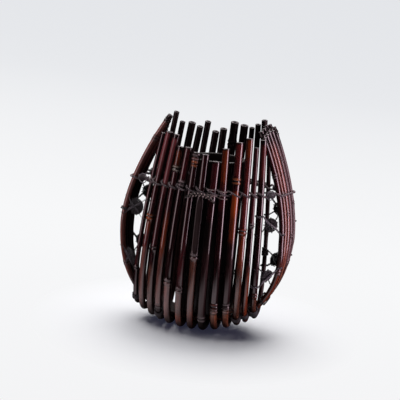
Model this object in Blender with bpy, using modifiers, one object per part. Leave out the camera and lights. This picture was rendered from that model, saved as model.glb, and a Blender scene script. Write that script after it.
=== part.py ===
"""A flower basket of smoked bamboo canes, with a water tube that lifts out of it.

Metres, +Z up, +X to the right and +Y to the back. The origin is on the table, under the middle cane.
Thirteen canes run down the front, under the base and up the back. Five thinner canes make a strap
that runs down one side, over the thirteen and up the other side. Twined cord ties them at the
shoulder, and small wound discs hang on cords in the four openings at the corners.
"""
from math import cos, hypot, pi, radians, sin, sqrt

import bmesh
import bpy
import numpy as np
from mathutils import Vector

for old_object in list(bpy.data.objects):
    bpy.data.objects.remove(old_object, do_unlink=True)

# Clearance between pieces that lie against each other
SEAT_GAP = 0.0003

# The walls: half sizes of the plan, and the heights that shape them
WALL_HALF_WIDTH = 0.096
BELLY_HALF_DEPTH = 0.058
MOUTH_HALF_DEPTH = 0.040
BELLY_HEIGHT = 0.1126
CROWN_HEIGHT = 0.2926
SPREAD_HEIGHT = 0.0626
LEFT_RISE = 0.0321
LEFT_RISE_POWER = 2.5
RIGHT_RISE = 0.0363
RIGHT_RISE_POWER = 1.77
REST_DEPTH = 0.0013
FOOT_POWER = 3.2
TAPER_POWER = 1.5
SPREAD_POWER = 1.6

# The thirteen canes, from the left to the right
CANE_RADIUS = 0.005
FRONT_RADIUS_SHARES = (0.60, 0.93, 0.88, 0.86, 0.98, 0.95, 1.0, 1.08, 0.96, 1.0, 0.92, 0.61, 0.83)
BACK_RADIUS_SHARES = (0.72, 0.74, 0.98, 0.86, 0.82, 0.93, 0.93, 1.06, 1.03, 0.70, 0.74, 0.78, 0.56)
FRONT_FOOT_SHARES = (-0.847, -0.734, -0.594, -0.464, -0.336, -0.166, 0.0,
                     0.155, 0.316, 0.469, 0.603, 0.708, 0.806)
BACK_FOOT_SHARES = (-0.825, -0.722, -0.605, -0.500, -0.365, -0.222, -0.080,
                    0.080, 0.243, 0.400, 0.530, 0.650, 0.797)
FRONT_HEAD_SHARES = (-0.641, -0.544, -0.431, -0.350, -0.235, -0.117, 0.007,
                     0.155, 0.262, 0.425, 0.545, 0.640, 0.711)
BACK_HEAD_SHARES = (-0.608, -0.530, -0.406, -0.298, -0.197, -0.085, 0.023,
                    0.172, 0.312, 0.423, 0.510, 0.600, 0.690)
FRONT_HEIGHT_SHARES = (0.872, 0.883, 0.878, 0.831, 0.833, 0.817, 0.814,
                       0.790, 0.848, 0.880, 0.900, 0.863, 0.895)
BACK_HEIGHT_SHARES = (0.948, 0.903, 0.902, 0.886, 0.912, 0.869, 0.886,
                      0.922, 0.914, 0.909, 0.929, 0.953, 0.890)
CANE_COUNT = len(FRONT_FOOT_SHARES)

# The strap of five canes, from the front to the back
STRAP_RADIUS = 0.0035
STRAP_HALF_WIDTH = 0.1073
STRAP_MOUTH_HALF_WIDTH = 0.0595
STRAP_BELLY_HEIGHT = 0.1296
STRAP_CROWN_HEIGHT = 0.2776
STRAP_SWAY = 0.0046
STRAP_FOOT_POWER = 2.4
STRAP_TAPER_POWER = 1.75
STRAP_SWAY_POWER = 1.5
STRAP_SIDE_GAP = 0.0014
STRAP_LEFT_TURN = radians(4)
STRAP_RIGHT_TURN = radians(16)
STRAP_RIGHT_MOUTH_TURN = radians(20)
STRAP_LEFT_HEIGHT_SHARES = (1.0, 0.972, 0.944, 0.920, 0.905)
STRAP_RIGHT_HEIGHT_SHARES = (0.975, 0.985, 0.996, 0.998, 0.985)
STRAP_COUNT = len(STRAP_LEFT_HEIGHT_SHARES)

# The water tube
TUBE_RADIUS = 0.0345
TUBE_HEIGHT = 0.203
TUBE_WALL = 0.0035
TUBE_FLOOR = 0.007
TUBE_EDGE = 0.0012
TUBE_OFF_CENTRE = 0.008

# The twined cord at the shoulder, the braid over it and the cords in the corner openings
BAND_HEIGHT = 0.1926
BAND_CORD_RADIUS = 0.0008
BAND_EASE_SHARE = 1.13
TWIST_SHARE = 1.6
SPINDLE_TWIST_SHARES = (0.3, 0.7)
BRAID_RADIUS = 0.0027
BRAID_DROP = 0.0031
BRAID_SAG = 0.0065
BRAID_PLACE_SHARES = (-0.3, 0.0, 1.0, 2.0, 2.45)
BRAID_SAG_SHARES = (1.0, 0.54, 0.0, 0.54, 1.38)
BRAID_FIRST_CANE = 5

# The wound discs in the corner openings, the spindles above them and the cords that hold them
DISC_RADIUS = 0.0086
DISC_THICKNESS = 0.0036
DISC_RIM = 0.0010
SPINDLE_RADIUS = 0.0045
SPINDLE_END_RADIUS = 0.0038
SPINDLE_HALF_LENGTH_SHARE = 0.30
SPINDLE_BORE_RADIUS = 0.0030
TIE_RADIUS = 0.0008
FRONT_DISC_HEIGHT_SHARES = (0.800, 0.452)
BACK_DISC_HEIGHT_SHARES = (0.862, 0.507)
DISC_CANE_TIE_RISE_SHARES = (0.062, -0.068)
DISC_STRAP_TIE_RISE_SHARES = (-0.062, 0.056)
DISC_ACROSS_SHARE = 0.5
DISC_LEAN_SHARES = (0.12, -0.35)
DISC_TURN_SHARES = (-0.10, 0.30)

# Cord wound round single canes near their feet, and round the whole strap
FOOT_WRAP_RADIUS = 0.0006
FOOT_WRAP_CANES = (1, 4, 11, 12, 13)
FOOT_WRAP_TURNS = 2
FOOT_WRAP_SHARE = 0.6
STRAP_WRAP_RADIUS = 0.0009
STRAP_WRAP_HEIGHT_SHARES = (0.535, 0.180)
EDGE_WRAP_TURNS = 4
EDGE_WRAP_HEIGHT_SHARE = 0.35

# How finely the curves are cut up
LEG_STEPS = 4
FOOT_STEPS = 6
TUBE_SIDES = 40
DISC_SIDES = 16
WRAP_STEPS = 12


def material(name, colour, roughness, metallic=0.0):
    """A plain finish for one kind of piece."""
    made = bpy.data.materials.new(name)
    made.use_nodes = True
    shader = made.node_tree.nodes["Principled BSDF"]
    shader.inputs["Base Color"].default_value = (*colour, 1.0)
    shader.inputs["Roughness"].default_value = roughness
    shader.inputs["Metallic"].default_value = metallic
    return made


MATERIALS = {
    "dark_cane": material("dark_cane", (0.075, 0.025, 0.018), 0.28),
    "red_cane": material("red_cane", (0.13, 0.035, 0.02), 0.26),
    "strap_cane": material("strap_cane", (0.10, 0.035, 0.025), 0.30),
    "black_tube": material("black_tube", (0.012, 0.010, 0.010), 0.35),
    "vine_cord": material("vine_cord", (0.10, 0.075, 0.07), 0.60),
    "wound_disc": material("wound_disc", (0.07, 0.065, 0.065), 0.75),
}

basket_parts = bpy.data.collections.new("ikebana_basket")
basket_cutters = bpy.data.collections.new("ikebana_basket_cutters")
bpy.context.scene.collection.children.link(basket_parts)
bpy.context.scene.collection.children.link(basket_cutters)


def keep(made, finish):
    """Put a finished object in the basket with its own copy of a finish."""
    basket_parts.objects.link(made)
    own = MATERIALS[finish].copy()
    own.name = made.name + "_finish"
    made.data.materials.append(own)
    return made


def tube(name, runs, radius, finish, resolution=2, closed=False, radii=None):
    """A round bar along each run of points, with filled ends."""
    data = bpy.data.curves.new(name, "CURVE")
    data.dimensions = "3D"
    data.bevel_depth = radius
    data.bevel_resolution = resolution
    data.use_fill_caps = True
    for run in runs:
        spline = data.splines.new("POLY")
        spline.points.add(len(run) - 1)
        spline.use_cyclic_u = closed
        spline.use_smooth = True
        for index, place in enumerate(run):
            spline.points[index].co = (*place, 1.0)
            spline.points[index].radius = radii[index] if radii else 1.0
    return keep(bpy.data.objects.new(name, data), finish)


def turned(name, profile, finish, sides=TUBE_SIDES, ring=False):
    """A shape turned about its own Z axis from a profile that runs down its outer side.

    The profile of a ring closes on itself, and any other begins and ends on the axis.
    """
    mesh = bpy.data.meshes.new(name)
    shape = bmesh.new()
    rows = [shape.verts.new((across, 0, up)) for across, up in profile]
    for upper, lower in zip(rows, rows[1:]):
        shape.edges.new((upper, lower))
    if ring:
        shape.edges.new((rows[-1], rows[0]))
    shape.to_mesh(mesh)
    shape.free()
    made = keep(bpy.data.objects.new(name, mesh), finish)
    screw = made.modifiers.new("turn", "SCREW")
    screw.axis = "Z"
    screw.angle = 2 * pi
    screw.steps = sides
    screw.render_steps = sides
    screw.use_merge_vertices = True
    screw.merge_threshold = 0.00001
    return made


# Shape of the walls

def plan_share(x):
    """How far a wall stands out at x, as a share of its depth in the middle."""
    return sqrt(max(1 - (x / WALL_HALF_WIDTH) ** 2, 0))


def underside(x):
    """Height of the lowest line of a cane that crosses under the basket at x."""
    rise_here, power = (LEFT_RISE, LEFT_RISE_POWER) if x < 0 else (RIGHT_RISE, RIGHT_RISE_POWER)
    return rise_here * abs(x / WALL_HALF_WIDTH) ** power - REST_DEPTH


def underside_slope(x):
    """How steeply the underside climbs at x."""
    rise_here, power = (LEFT_RISE, LEFT_RISE_POWER) if x < 0 else (RIGHT_RISE, RIGHT_RISE_POWER)
    return rise_here * power / WALL_HALF_WIDTH * abs(x / WALL_HALF_WIDTH) ** (power - 1)


def rise(side_share, power):
    """How high a rounded bottom has risen, as a share, this far out from its middle."""
    return 1 - (1 - min(abs(side_share), 1) ** power) ** (1 / power)


def reach(height_share, power):
    """How far out a rounded bottom is, as a share, at this share of its height."""
    return (1 - (1 - min(max(height_share, 0), 1)) ** power) ** (1 / power)


def level(route, side, height):
    """Where a route passes a height, on its first half, side -1, or its second, side 1."""
    middle = len(route) // 2
    half = route[middle::-1] if side < 0 else route[middle:]
    heights = [place.z for place in half]
    return Vector([np.interp(height, heights, [place[axis] for place in half]) for axis in range(3)])


class Cane:
    """One of the thirteen canes, from its front head under the basket to its back head."""

    def __init__(self, index):
        self.front_radius = CANE_RADIUS * FRONT_RADIUS_SHARES[index]
        self.back_radius = CANE_RADIUS * BACK_RADIUS_SHARES[index]
        self.foot_radius = (self.front_radius + self.back_radius) / 2
        self.feet = {-1: WALL_HALF_WIDTH * FRONT_FOOT_SHARES[index],
                     1: WALL_HALF_WIDTH * BACK_FOOT_SHARES[index]}
        self.heads = {-1: WALL_HALF_WIDTH * FRONT_HEAD_SHARES[index],
                      1: WALL_HALF_WIDTH * BACK_HEAD_SHARES[index]}
        self.tops = {-1: CROWN_HEIGHT * FRONT_HEIGHT_SHARES[index],
                     1: CROWN_HEIGHT * BACK_HEIGHT_SHARES[index]}
        self.middle = (self.feet[-1] + self.feet[1]) / 2
        self.plan = plan_share(self.middle)
        self.bottom = underside(self.middle) + self.foot_radius
        self.places = self.route()

    def radius(self, side):
        return self.front_radius if side < 0 else self.back_radius

    def leg(self, side, height):
        """Middle of the front leg, side -1, or the back leg, side 1, at a height."""
        lean = max(height - SPREAD_HEIGHT, 0) / (self.tops[side] - SPREAD_HEIGHT)
        x = self.feet[side] + (self.heads[side] - self.feet[side]) * lean ** SPREAD_POWER
        if height >= BELLY_HEIGHT:
            taper = ((height - BELLY_HEIGHT) / (CROWN_HEIGHT - BELLY_HEIGHT)) ** TAPER_POWER
            depth = BELLY_HALF_DEPTH - (BELLY_HALF_DEPTH - MOUTH_HALF_DEPTH) * taper
        else:
            climbed = (height - self.bottom) / (BELLY_HEIGHT - self.bottom)
            depth = BELLY_HALF_DEPTH * reach(climbed, FOOT_POWER)
        return Vector((x, side * depth * self.plan, height))

    def under(self, y_share):
        """Middle of the cane where it crosses under, y_share of the way out to a wall."""
        x = self.middle + (self.feet[1] - self.feet[-1]) / 2 * y_share
        height = self.bottom + (BELLY_HEIGHT - self.bottom) * rise(y_share, FOOT_POWER)
        return Vector((x, BELLY_HALF_DEPTH * self.plan * y_share, height))

    def under_at(self, y):
        """Height of the cane's middle where it crosses under, at y."""
        crossing = self.places[LEG_STEPS:-LEG_STEPS]
        return np.interp(y, [place.y for place in crossing], [place.z for place in crossing])

    def route(self):
        """Points from the front head round to the back head."""
        places = []
        for step in range(LEG_STEPS):
            height = self.tops[-1] + (BELLY_HEIGHT - self.tops[-1]) * step / LEG_STEPS
            places.append(self.leg(-1, height))
        for step in range(-FOOT_STEPS, FOOT_STEPS + 1):
            angle = pi / 2 * step / FOOT_STEPS
            out = abs(sin(angle)) ** (2 / FOOT_POWER)
            places.append(self.under(out if step > 0 else -out))
        for step in range(1, LEG_STEPS + 1):
            height = BELLY_HEIGHT + (self.tops[1] - BELLY_HEIGHT) * step / LEG_STEPS
            places.append(self.leg(1, height))
        return places


CANES = [Cane(index) for index in range(CANE_COUNT)]


# Shape of the strap

def strap_bed(x, y):
    """Height of a strap cane's middle where it lies on the canes that cross under it."""
    rests = []
    for cane in CANES:
        clear = (cane.foot_radius + STRAP_RADIUS + SEAT_GAP) * hypot(1, underside_slope(cane.middle))
        rests.append(cane.under_at(y) + clear)
    return float(np.interp(x, [cane.middle for cane in CANES], rests))


STRAP_BASE_PITCH = 2 * STRAP_RADIUS + SEAT_GAP
STRAP_BELLY_PITCH = 2 * STRAP_RADIUS + STRAP_SIDE_GAP
STRAP_BOTTOM = strap_bed(0, 0)


class StrapCane:
    """One cane of the strap, from its left head under the tube to its right head."""

    def __init__(self, index):
        self.place = index - (STRAP_COUNT - 1) / 2
        self.tops = {-1: STRAP_CROWN_HEIGHT * STRAP_LEFT_HEIGHT_SHARES[index],
                     1: STRAP_CROWN_HEIGHT * STRAP_RIGHT_HEIGHT_SHARES[index]}
        self.places = self.route()

    def at(self, side, height):
        """Middle of the strap cane on the left, side -1, or the right, side 1, at a height."""
        if height >= STRAP_BELLY_HEIGHT:
            climbed = (height - STRAP_BELLY_HEIGHT) / (STRAP_CROWN_HEIGHT - STRAP_BELLY_HEIGHT)
            draw_in = (STRAP_HALF_WIDTH - STRAP_MOUTH_HALF_WIDTH) * climbed ** STRAP_TAPER_POWER
            out = STRAP_HALF_WIDTH - draw_in
            sway = STRAP_SWAY * climbed ** STRAP_SWAY_POWER
            pitch = STRAP_BELLY_PITCH
            turn = STRAP_LEFT_TURN
            if side > 0:
                turn = STRAP_RIGHT_TURN + (STRAP_RIGHT_MOUTH_TURN - STRAP_RIGHT_TURN) * climbed ** 2
        else:
            climbed = (height - STRAP_BOTTOM) / (STRAP_BELLY_HEIGHT - STRAP_BOTTOM)
            out = STRAP_HALF_WIDTH * reach(climbed, STRAP_FOOT_POWER)
            sway = 0
            opened = max(climbed, 0) ** 2
            pitch = STRAP_BASE_PITCH + (STRAP_BELLY_PITCH - STRAP_BASE_PITCH) * opened
            turn = (STRAP_LEFT_TURN if side < 0 else STRAP_RIGHT_TURN) * opened
        offset = self.place * pitch
        return Vector((side * out + sway + offset * sin(turn), offset * cos(turn), height))

    def route(self):
        """Points from the left head round to the right head."""
        places = []
        for step in range(LEG_STEPS):
            height = self.tops[-1] + (STRAP_BELLY_HEIGHT - self.tops[-1]) * step / LEG_STEPS
            places.append(self.at(-1, height))
        for step in range(-FOOT_STEPS, FOOT_STEPS + 1):
            out = abs(sin(pi / 2 * step / FOOT_STEPS)) ** (2 / STRAP_FOOT_POWER)
            height = STRAP_BOTTOM + (STRAP_BELLY_HEIGHT - STRAP_BOTTOM) * rise(out, STRAP_FOOT_POWER)
            place = self.at(1 if step > 0 else -1, height)
            if abs(place.x) < abs(CANES[0].middle):
                place.z = max(place.z, strap_bed(place.x, place.y))
            places.append(place)
        for step in range(1, LEG_STEPS + 1):
            height = STRAP_BELLY_HEIGHT + (self.tops[1] - STRAP_BELLY_HEIGHT) * step / LEG_STEPS
            places.append(self.at(1, height))
        return places


STRAP = [StrapCane(index) for index in range(STRAP_COUNT)]


def make_canes():
    """The thirteen canes, the lowest ones flattened where they stand on the table."""
    for number, cane in enumerate(CANES, 1):
        growth = cane.back_radius / cane.front_radius - 1
        crossed = [0] * LEG_STEPS + [step / (2 * FOOT_STEPS) for step in range(2 * FOOT_STEPS + 1)]
        taper = [1 + growth * share for share in crossed + [1] * LEG_STEPS]
        finish = "red_cane" if number in (4, 10, 11) else "dark_cane"
        made = tube(f"cane_{number:02d}", [cane.places], cane.front_radius, finish, radii=taper)
        if cane.bottom < cane.foot_radius:
            flatten(made, cane)


def flatten(bar, cane):
    """Turn a cane into a mesh and cut it level with the table."""
    name = bar.name
    depsgraph = bpy.context.evaluated_depsgraph_get()
    mesh = bpy.data.meshes.new_from_object(bar.evaluated_get(depsgraph), depsgraph=depsgraph)
    shape = bmesh.new()
    shape.from_mesh(mesh)
    bmesh.ops.remove_doubles(shape, verts=shape.verts, dist=0.00001)
    shape.to_mesh(mesh)
    shape.free()
    place = bar.matrix_world.copy()
    bpy.data.objects.remove(bar, do_unlink=True)
    solid = bpy.data.objects.new(name, mesh)
    solid.matrix_world = place
    basket_parts.objects.link(solid)
    bpy.ops.mesh.primitive_cube_add(size=1)
    cutter = bpy.context.object
    cutter.name = name + "_table_cutter"
    cutter.scale = (4 * CANE_RADIUS, 2 * BELLY_HALF_DEPTH, 2 * CANE_RADIUS)
    cutter.location = (cane.middle, 0, -CANE_RADIUS)
    for owner in list(cutter.users_collection):
        owner.objects.unlink(cutter)
    basket_cutters.objects.link(cutter)
    cutter.hide_render = True
    cutter.display_type = "WIRE"
    cut = solid.modifiers.new("table", "BOOLEAN")
    cut.operation = "DIFFERENCE"
    cut.solver = "EXACT"
    cut.object = cutter


def make_strap():
    """The five canes of the strap."""
    for number, cane in enumerate(STRAP, 1):
        tube(f"strap_cane_{number}", [cane.places], STRAP_RADIUS, "strap_cane")


def make_water_tube():
    """The lift-out tube, which stands on the strap with its axis on its own origin."""
    edge = TUBE_OFF_CENTRE + TUBE_RADIUS
    under = STRAP[STRAP_COUNT // 2].places[LEG_STEPS:-LEG_STEPS]
    seat = np.interp(edge, [place.x for place in under], [place.z for place in under])
    seat += (STRAP_RADIUS + SEAT_GAP) * hypot(1, underside_slope(edge))
    bore = TUBE_RADIUS - TUBE_WALL
    profile = [(0, TUBE_FLOOR),
               (bore - TUBE_EDGE, TUBE_FLOOR),
               (bore, TUBE_FLOOR + TUBE_EDGE),
               (bore, TUBE_HEIGHT),
               (TUBE_RADIUS, TUBE_HEIGHT),
               (TUBE_RADIUS, TUBE_EDGE),
               (TUBE_RADIUS - TUBE_EDGE, 0),
               (0, 0)]
    made = turned("water_tube", profile, "black_tube")
    made.location = (TUBE_OFF_CENTRE, 0, seat)


# The twined cord at the shoulder

def band_posts():
    """What the cord twines round, in order round the basket: the centres and the radius."""
    front = [([level(cane.places, -1, BAND_HEIGHT)], cane.front_radius) for cane in CANES]
    right = [level(cane.places, 1, BAND_HEIGHT) for cane in STRAP]
    back = [([level(cane.places, 1, BAND_HEIGHT)], cane.back_radius) for cane in reversed(CANES)]
    left = [level(cane.places, -1, BAND_HEIGHT) for cane in reversed(STRAP)]
    posts = []
    for wall, strap, next_wall in ((front, right, back), (back, left, front)):
        posts += wall
        posts += open_posts(*wall[-1], strap, STRAP_RADIUS)
        posts.append((strap, STRAP_RADIUS))
        posts += open_posts(strap, STRAP_RADIUS, *next_wall[0])
    return posts


def open_posts(centres, radius, next_centres, next_radius):
    """Two places in the free width between posts, round which the cords still twist."""
    start, end = centres[-1], next_centres[0]
    along = (end - start).normalized()
    return [([(start + along * radius).lerp(end - along * next_radius, share)], 0)
            for share in SPINDLE_TWIST_SHARES]


def sideways(along):
    """The level way out of the basket from a way that goes round it."""
    return Vector((along.y, -along.x, 0)).normalized()


def past_strap(centres, before, after, front, out):
    """Places along the outer side, front 1, or the inner side, front -1, of the strap's canes."""
    outward = sideways(centres[-1] - centres[0])
    first_way, last_way = sideways(centres[0] - before), sideways(after - centres[-1])
    first_turn, last_turn = (first_way + outward).normalized(), (last_way + outward).normalized()
    if front < 0:
        inner = [centre - out * outward for centre in centres[1:-1]]
        return [centres[0] - out * first_turn, *inner, centres[-1] - out * last_turn]
    outer = [centre + out * outward for centre in centres]
    start = [centres[0] + out * first_way, centres[0] + out * first_turn]
    return start + outer + [centres[-1] + out * last_turn, centres[-1] + out * last_way]


def band_cord(side):
    """One of the two cords of the band, which pass in front and behind by turns."""
    posts = band_posts()
    lift = TWIST_SHARE * (BAND_CORD_RADIUS + SEAT_GAP / 2)
    places = []
    for index, (centres, radius) in enumerate(posts):
        before = posts[index - 1][0][-1]
        after_centres, after_radius = posts[(index + 1) % len(posts)]
        after = after_centres[0]
        along = (after - before).normalized()
        outward = sideways(along)
        front = side if index % 2 == 0 else -side
        out = (radius + BAND_CORD_RADIUS + SEAT_GAP) * BAND_EASE_SHARE
        if radius == 0:
            places.append(centres[0] + outward * front * lift)
        elif len(centres) == 1:
            for angle in (-pi / 4, 0, pi / 4):
                places.append(centres[0] + out * (outward * front * cos(angle) + along * sin(angle)))
        else:
            places += past_strap(centres, before, after, front, out * BAND_EASE_SHARE)
        towards = (after - centres[-1]).normalized()
        crossing = (centres[-1] + towards * radius + after - towards * after_radius) / 2
        crossing.z = BAND_HEIGHT + front * lift
        places.append(crossing)
    return places


def make_band():
    """The two cords that twine round every cane at the shoulder."""
    tube("band_cord_a", [band_cord(1)], BAND_CORD_RADIUS, "vine_cord", resolution=1, closed=True)
    tube("band_cord_b", [band_cord(-1)], BAND_CORD_RADIUS, "vine_cord", resolution=1, closed=True)


def make_braid():
    """The short thick braid that hangs over the band on the middle canes."""
    places = []
    for place_share, sag_share in zip(BRAID_PLACE_SHARES, BRAID_SAG_SHARES):
        index = BRAID_FIRST_CANE + (0 if place_share < 0 else int(place_share))
        height = BAND_HEIGHT - BRAID_DROP - BRAID_SAG * sag_share
        here, there = CANES[index], CANES[index + 1 if place_share >= 0 else index - 1]
        place = level(here.places, -1, height)
        place = place.lerp(level(there.places, -1, height), abs(place_share) % 1)
        widest = max(here.front_radius, there.front_radius)
        apart = BAND_CORD_RADIUS + BRAID_RADIUS + SEAT_GAP
        place.y -= (widest + BAND_CORD_RADIUS + SEAT_GAP) * BAND_EASE_SHARE
        place.y -= sqrt(max(apart ** 2 - BRAID_DROP ** 2, 0))
        places.append(place)
    tube("shoulder_braid", [places], BRAID_RADIUS, "vine_cord")


# The corner openings, between an edge cane and the nearest cane of the strap

class Corner:
    """One opening at a corner of the basket, with its edge cane and its strap cane."""

    def __init__(self, name, cane, wall, strap_cane, end):
        self.name = name
        self.cane = cane
        self.wall = wall
        self.strap_cane = strap_cane
        self.end = end
        self.radius = cane.radius(wall)
        self.disc_shares = FRONT_DISC_HEIGHT_SHARES if wall < 0 else BACK_DISC_HEIGHT_SHARES

    def edges(self, height):
        """Middles of the edge cane and of the strap cane at a height."""
        return level(self.cane.places, self.wall, height), level(self.strap_cane.places, self.end, height)

    def frame(self, height):
        """Level way from the edge cane to the strap, and the way out of the basket."""
        edge, strap = self.edges(height)
        along = (strap - edge).normalized()
        outward = Vector((along.y, -along.x, 0)) * self.end
        return along, outward if self.wall < 0 else -outward

    def middle(self, height, across_share):
        """A place in the free width between the two canes."""
        edge, strap = self.edges(height)
        along, _ = self.frame(height)
        return (edge + along * self.radius).lerp(strap - along * STRAP_RADIUS, across_share)

    def free_width(self, height):
        """How far apart the two canes stand at a height."""
        edge, strap = self.edges(height)
        return (strap - edge).length - self.radius - STRAP_RADIUS


CORNERS = [Corner("front_left", CANES[0], -1, STRAP[0], -1),
           Corner("front_right", CANES[-1], -1, STRAP[0], 1),
           Corner("back_left", CANES[0], 1, STRAP[-1], -1),
           Corner("back_right", CANES[-1], 1, STRAP[-1], 1)]


def make_disc(corner, number):
    """A wound disc in an opening, and the cord that crosses it from the edge cane to the strap."""
    height_share = corner.disc_shares[number]
    height = BAND_HEIGHT * height_share
    centre = corner.middle(height, DISC_ACROSS_SHARE)
    along, outward = corner.frame(height)
    face = outward + along * DISC_TURN_SHARES[number]
    face.z = DISC_LEAN_SHARES[number]
    face.normalize()
    half = DISC_THICKNESS / 2
    profile = [(0, half),
               (DISC_RADIUS - DISC_RIM, half),
               (DISC_RADIUS, half - DISC_RIM),
               (DISC_RADIUS, DISC_RIM - half),
               (DISC_RADIUS - DISC_RIM, -half),
               (0, -half)]
    name = f"{corner.name}_disc_{number + 1}"
    disc = turned(name, profile, "wound_disc", sides=DISC_SIDES)
    disc.location = centre
    disc.rotation_euler = face.to_track_quat("Z", "Y").to_euler()

    edge_height = BAND_HEIGHT * (height_share + DISC_CANE_TIE_RISE_SHARES[number])
    strap_height = BAND_HEIGHT * (height_share + DISC_STRAP_TIE_RISE_SHARES[number])
    edge, strap = corner.edges(edge_height)[0], corner.edges(strap_height)[1]
    across = strap - edge
    across -= face * across.dot(face)
    across.normalize()
    lifted = centre + face * (half + TIE_RADIUS + SEAT_GAP)
    edge_out = (corner.radius + TIE_RADIUS + SEAT_GAP) * BAND_EASE_SHARE
    strap_out = (STRAP_RADIUS + TIE_RADIUS + SEAT_GAP) * BAND_EASE_SHARE
    bends = (radians(50), radians(80), radians(110))
    places = [edge + edge_out * (along * cos(bend) + outward * sin(bend)) for bend in reversed(bends)]
    places += [lifted - across * DISC_RADIUS, lifted + across * DISC_RADIUS]
    places += [strap + strap_out * (outward * sin(bend) - along * cos(bend)) for bend in bends]
    tube(f"{corner.name}_tie_{number + 1}", [places], TIE_RADIUS, "vine_cord", resolution=1)


def make_spindle(corner):
    """A wound spindle on the band where the band crosses an opening."""
    along, _ = corner.frame(BAND_HEIGHT)
    half = corner.free_width(BAND_HEIGHT) * SPINDLE_HALF_LENGTH_SHARE
    profile = [(SPINDLE_END_RADIUS, half),
               (SPINDLE_RADIUS, half / 3),
               (SPINDLE_RADIUS, -half / 3),
               (SPINDLE_END_RADIUS, -half),
               (SPINDLE_BORE_RADIUS, -half),
               (SPINDLE_BORE_RADIUS, half)]
    spindle = turned(f"{corner.name}_spindle", profile, "wound_disc", sides=DISC_SIDES, ring=True)
    spindle.location = corner.middle(BAND_HEIGHT, DISC_ACROSS_SHARE)
    spindle.rotation_euler = along.to_track_quat("Z", "Y").to_euler()


def coil(name, start, end, share, radius, cord_radius, turns):
    """Cord wound round the straight stretch of a cane from start to end."""
    axis = (end - start).normalized()
    side = axis.cross(Vector((0, 1, 0))).normalized()
    other = axis.cross(side)
    pitch = 2 * cord_radius + SEAT_GAP
    out = radius + cord_radius + SEAT_GAP
    places = []
    for step in range(turns * WRAP_STEPS + 1):
        angle = 2 * pi * step / WRAP_STEPS
        along = pitch * (step / WRAP_STEPS - turns / 2)
        places.append(start.lerp(end, share) + axis * along + out * (side * cos(angle) + other * sin(angle)))
    tube(name, [places], cord_radius, "vine_cord", resolution=1)


def strap_wrap(name, side, height):
    """A cord tied once round the whole strap at a height."""
    centres = [level(cane.places, side, height) for cane in STRAP]
    middle = STRAP[STRAP_COUNT // 2].places
    climb = level(middle, side, height + STRAP_WRAP_RADIUS) - level(middle, side, height - STRAP_WRAP_RADIUS)
    along = (centres[-1] - centres[0]).normalized()
    outward = along.cross(climb).normalized()
    out = (STRAP_RADIUS + STRAP_WRAP_RADIUS + SEAT_GAP) * BAND_EASE_SHARE
    places = []
    for end, middle in ((centres[-1], 0), (centres[0], pi)):
        for step in range(-2, 3):
            angle = middle + pi / 4 * step
            places.append(end + out * (along * cos(angle) + outward * sin(angle)))
    tube(name, [places], STRAP_WRAP_RADIUS, "vine_cord", resolution=1, closed=True)


def make_wraps():
    """The small windings near the feet, on the right back edge cane and round the strap."""
    for number in FOOT_WRAP_CANES:
        cane = CANES[number - 1]
        start, end = cane.places[LEG_STEPS + FOOT_STEPS // 2:][:2]
        coil(f"foot_wrap_{number:02d}", start, end, FOOT_WRAP_SHARE,
             max(cane.front_radius, cane.foot_radius), FOOT_WRAP_RADIUS, FOOT_WRAP_TURNS)
    edge = CANES[-1]
    height = CROWN_HEIGHT * EDGE_WRAP_HEIGHT_SHARE
    half = EDGE_WRAP_TURNS * STRAP_WRAP_RADIUS
    low, high = (level(edge.places, 1, place) for place in (height - half, height + half))
    coil("edge_wrap", low, high, 0.5, edge.back_radius, STRAP_WRAP_RADIUS, EDGE_WRAP_TURNS)
    for name, side, share in zip(("left", "right"), (-1, 1), STRAP_WRAP_HEIGHT_SHARES):
        strap_wrap(f"strap_wrap_{name}", side, STRAP_CROWN_HEIGHT * share)


make_canes()
make_strap()
make_water_tube()
make_band()
make_braid()
make_wraps()
for opening in CORNERS:
    make_spindle(opening)
    for disc_number in range(len(FRONT_DISC_HEIGHT_SHARES)):
        make_disc(opening, disc_number)

# The whole basket is placed so that its middle cane stands on the origin
stand = bpy.data.objects.new("basket_stand", None)
stand.location.x = -CANES[CANE_COUNT // 2].middle
basket_parts.objects.link(stand)
for made_object in (*basket_parts.objects, *basket_cutters.objects):
    if made_object is not stand:
        made_object.parent = stand
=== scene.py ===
"""Looks of a flower basket of smoked bamboo canes, with a water tube that lifts out of it.

Metres, +Z up. The routes of the canes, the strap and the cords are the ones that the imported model
has, drawn with more points, so that each finished piece lies where its plain solid lies.
"""
from contextlib import contextmanager
from math import cos, hypot, pi, radians, sin, sqrt

import bpy
import numpy as np
from mathutils import Matrix, Vector
from mathutils.kdtree import KDTree


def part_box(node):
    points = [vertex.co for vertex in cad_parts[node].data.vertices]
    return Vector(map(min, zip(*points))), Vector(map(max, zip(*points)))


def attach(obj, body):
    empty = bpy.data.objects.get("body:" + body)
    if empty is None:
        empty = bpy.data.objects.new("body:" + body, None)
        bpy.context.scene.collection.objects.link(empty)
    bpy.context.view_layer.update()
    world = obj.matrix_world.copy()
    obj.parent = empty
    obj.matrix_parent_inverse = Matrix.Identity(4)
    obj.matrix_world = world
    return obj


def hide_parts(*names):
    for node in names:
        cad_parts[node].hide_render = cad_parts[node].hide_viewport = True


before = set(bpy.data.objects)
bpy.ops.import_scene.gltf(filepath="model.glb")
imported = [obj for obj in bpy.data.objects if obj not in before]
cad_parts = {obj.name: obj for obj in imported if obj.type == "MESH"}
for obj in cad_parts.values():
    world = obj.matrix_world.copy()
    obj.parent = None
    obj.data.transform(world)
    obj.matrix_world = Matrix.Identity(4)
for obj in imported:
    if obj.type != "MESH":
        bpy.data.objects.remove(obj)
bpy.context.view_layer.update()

# Sizes of the walls, the canes, the strap, the band and the small pieces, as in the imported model;
# where both legs of each cane are listed, -1 is the front or the left and 1 the back or the right
SEAT_GAP = 0.0003
WALL_HALF_WIDTH = 0.096
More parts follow.
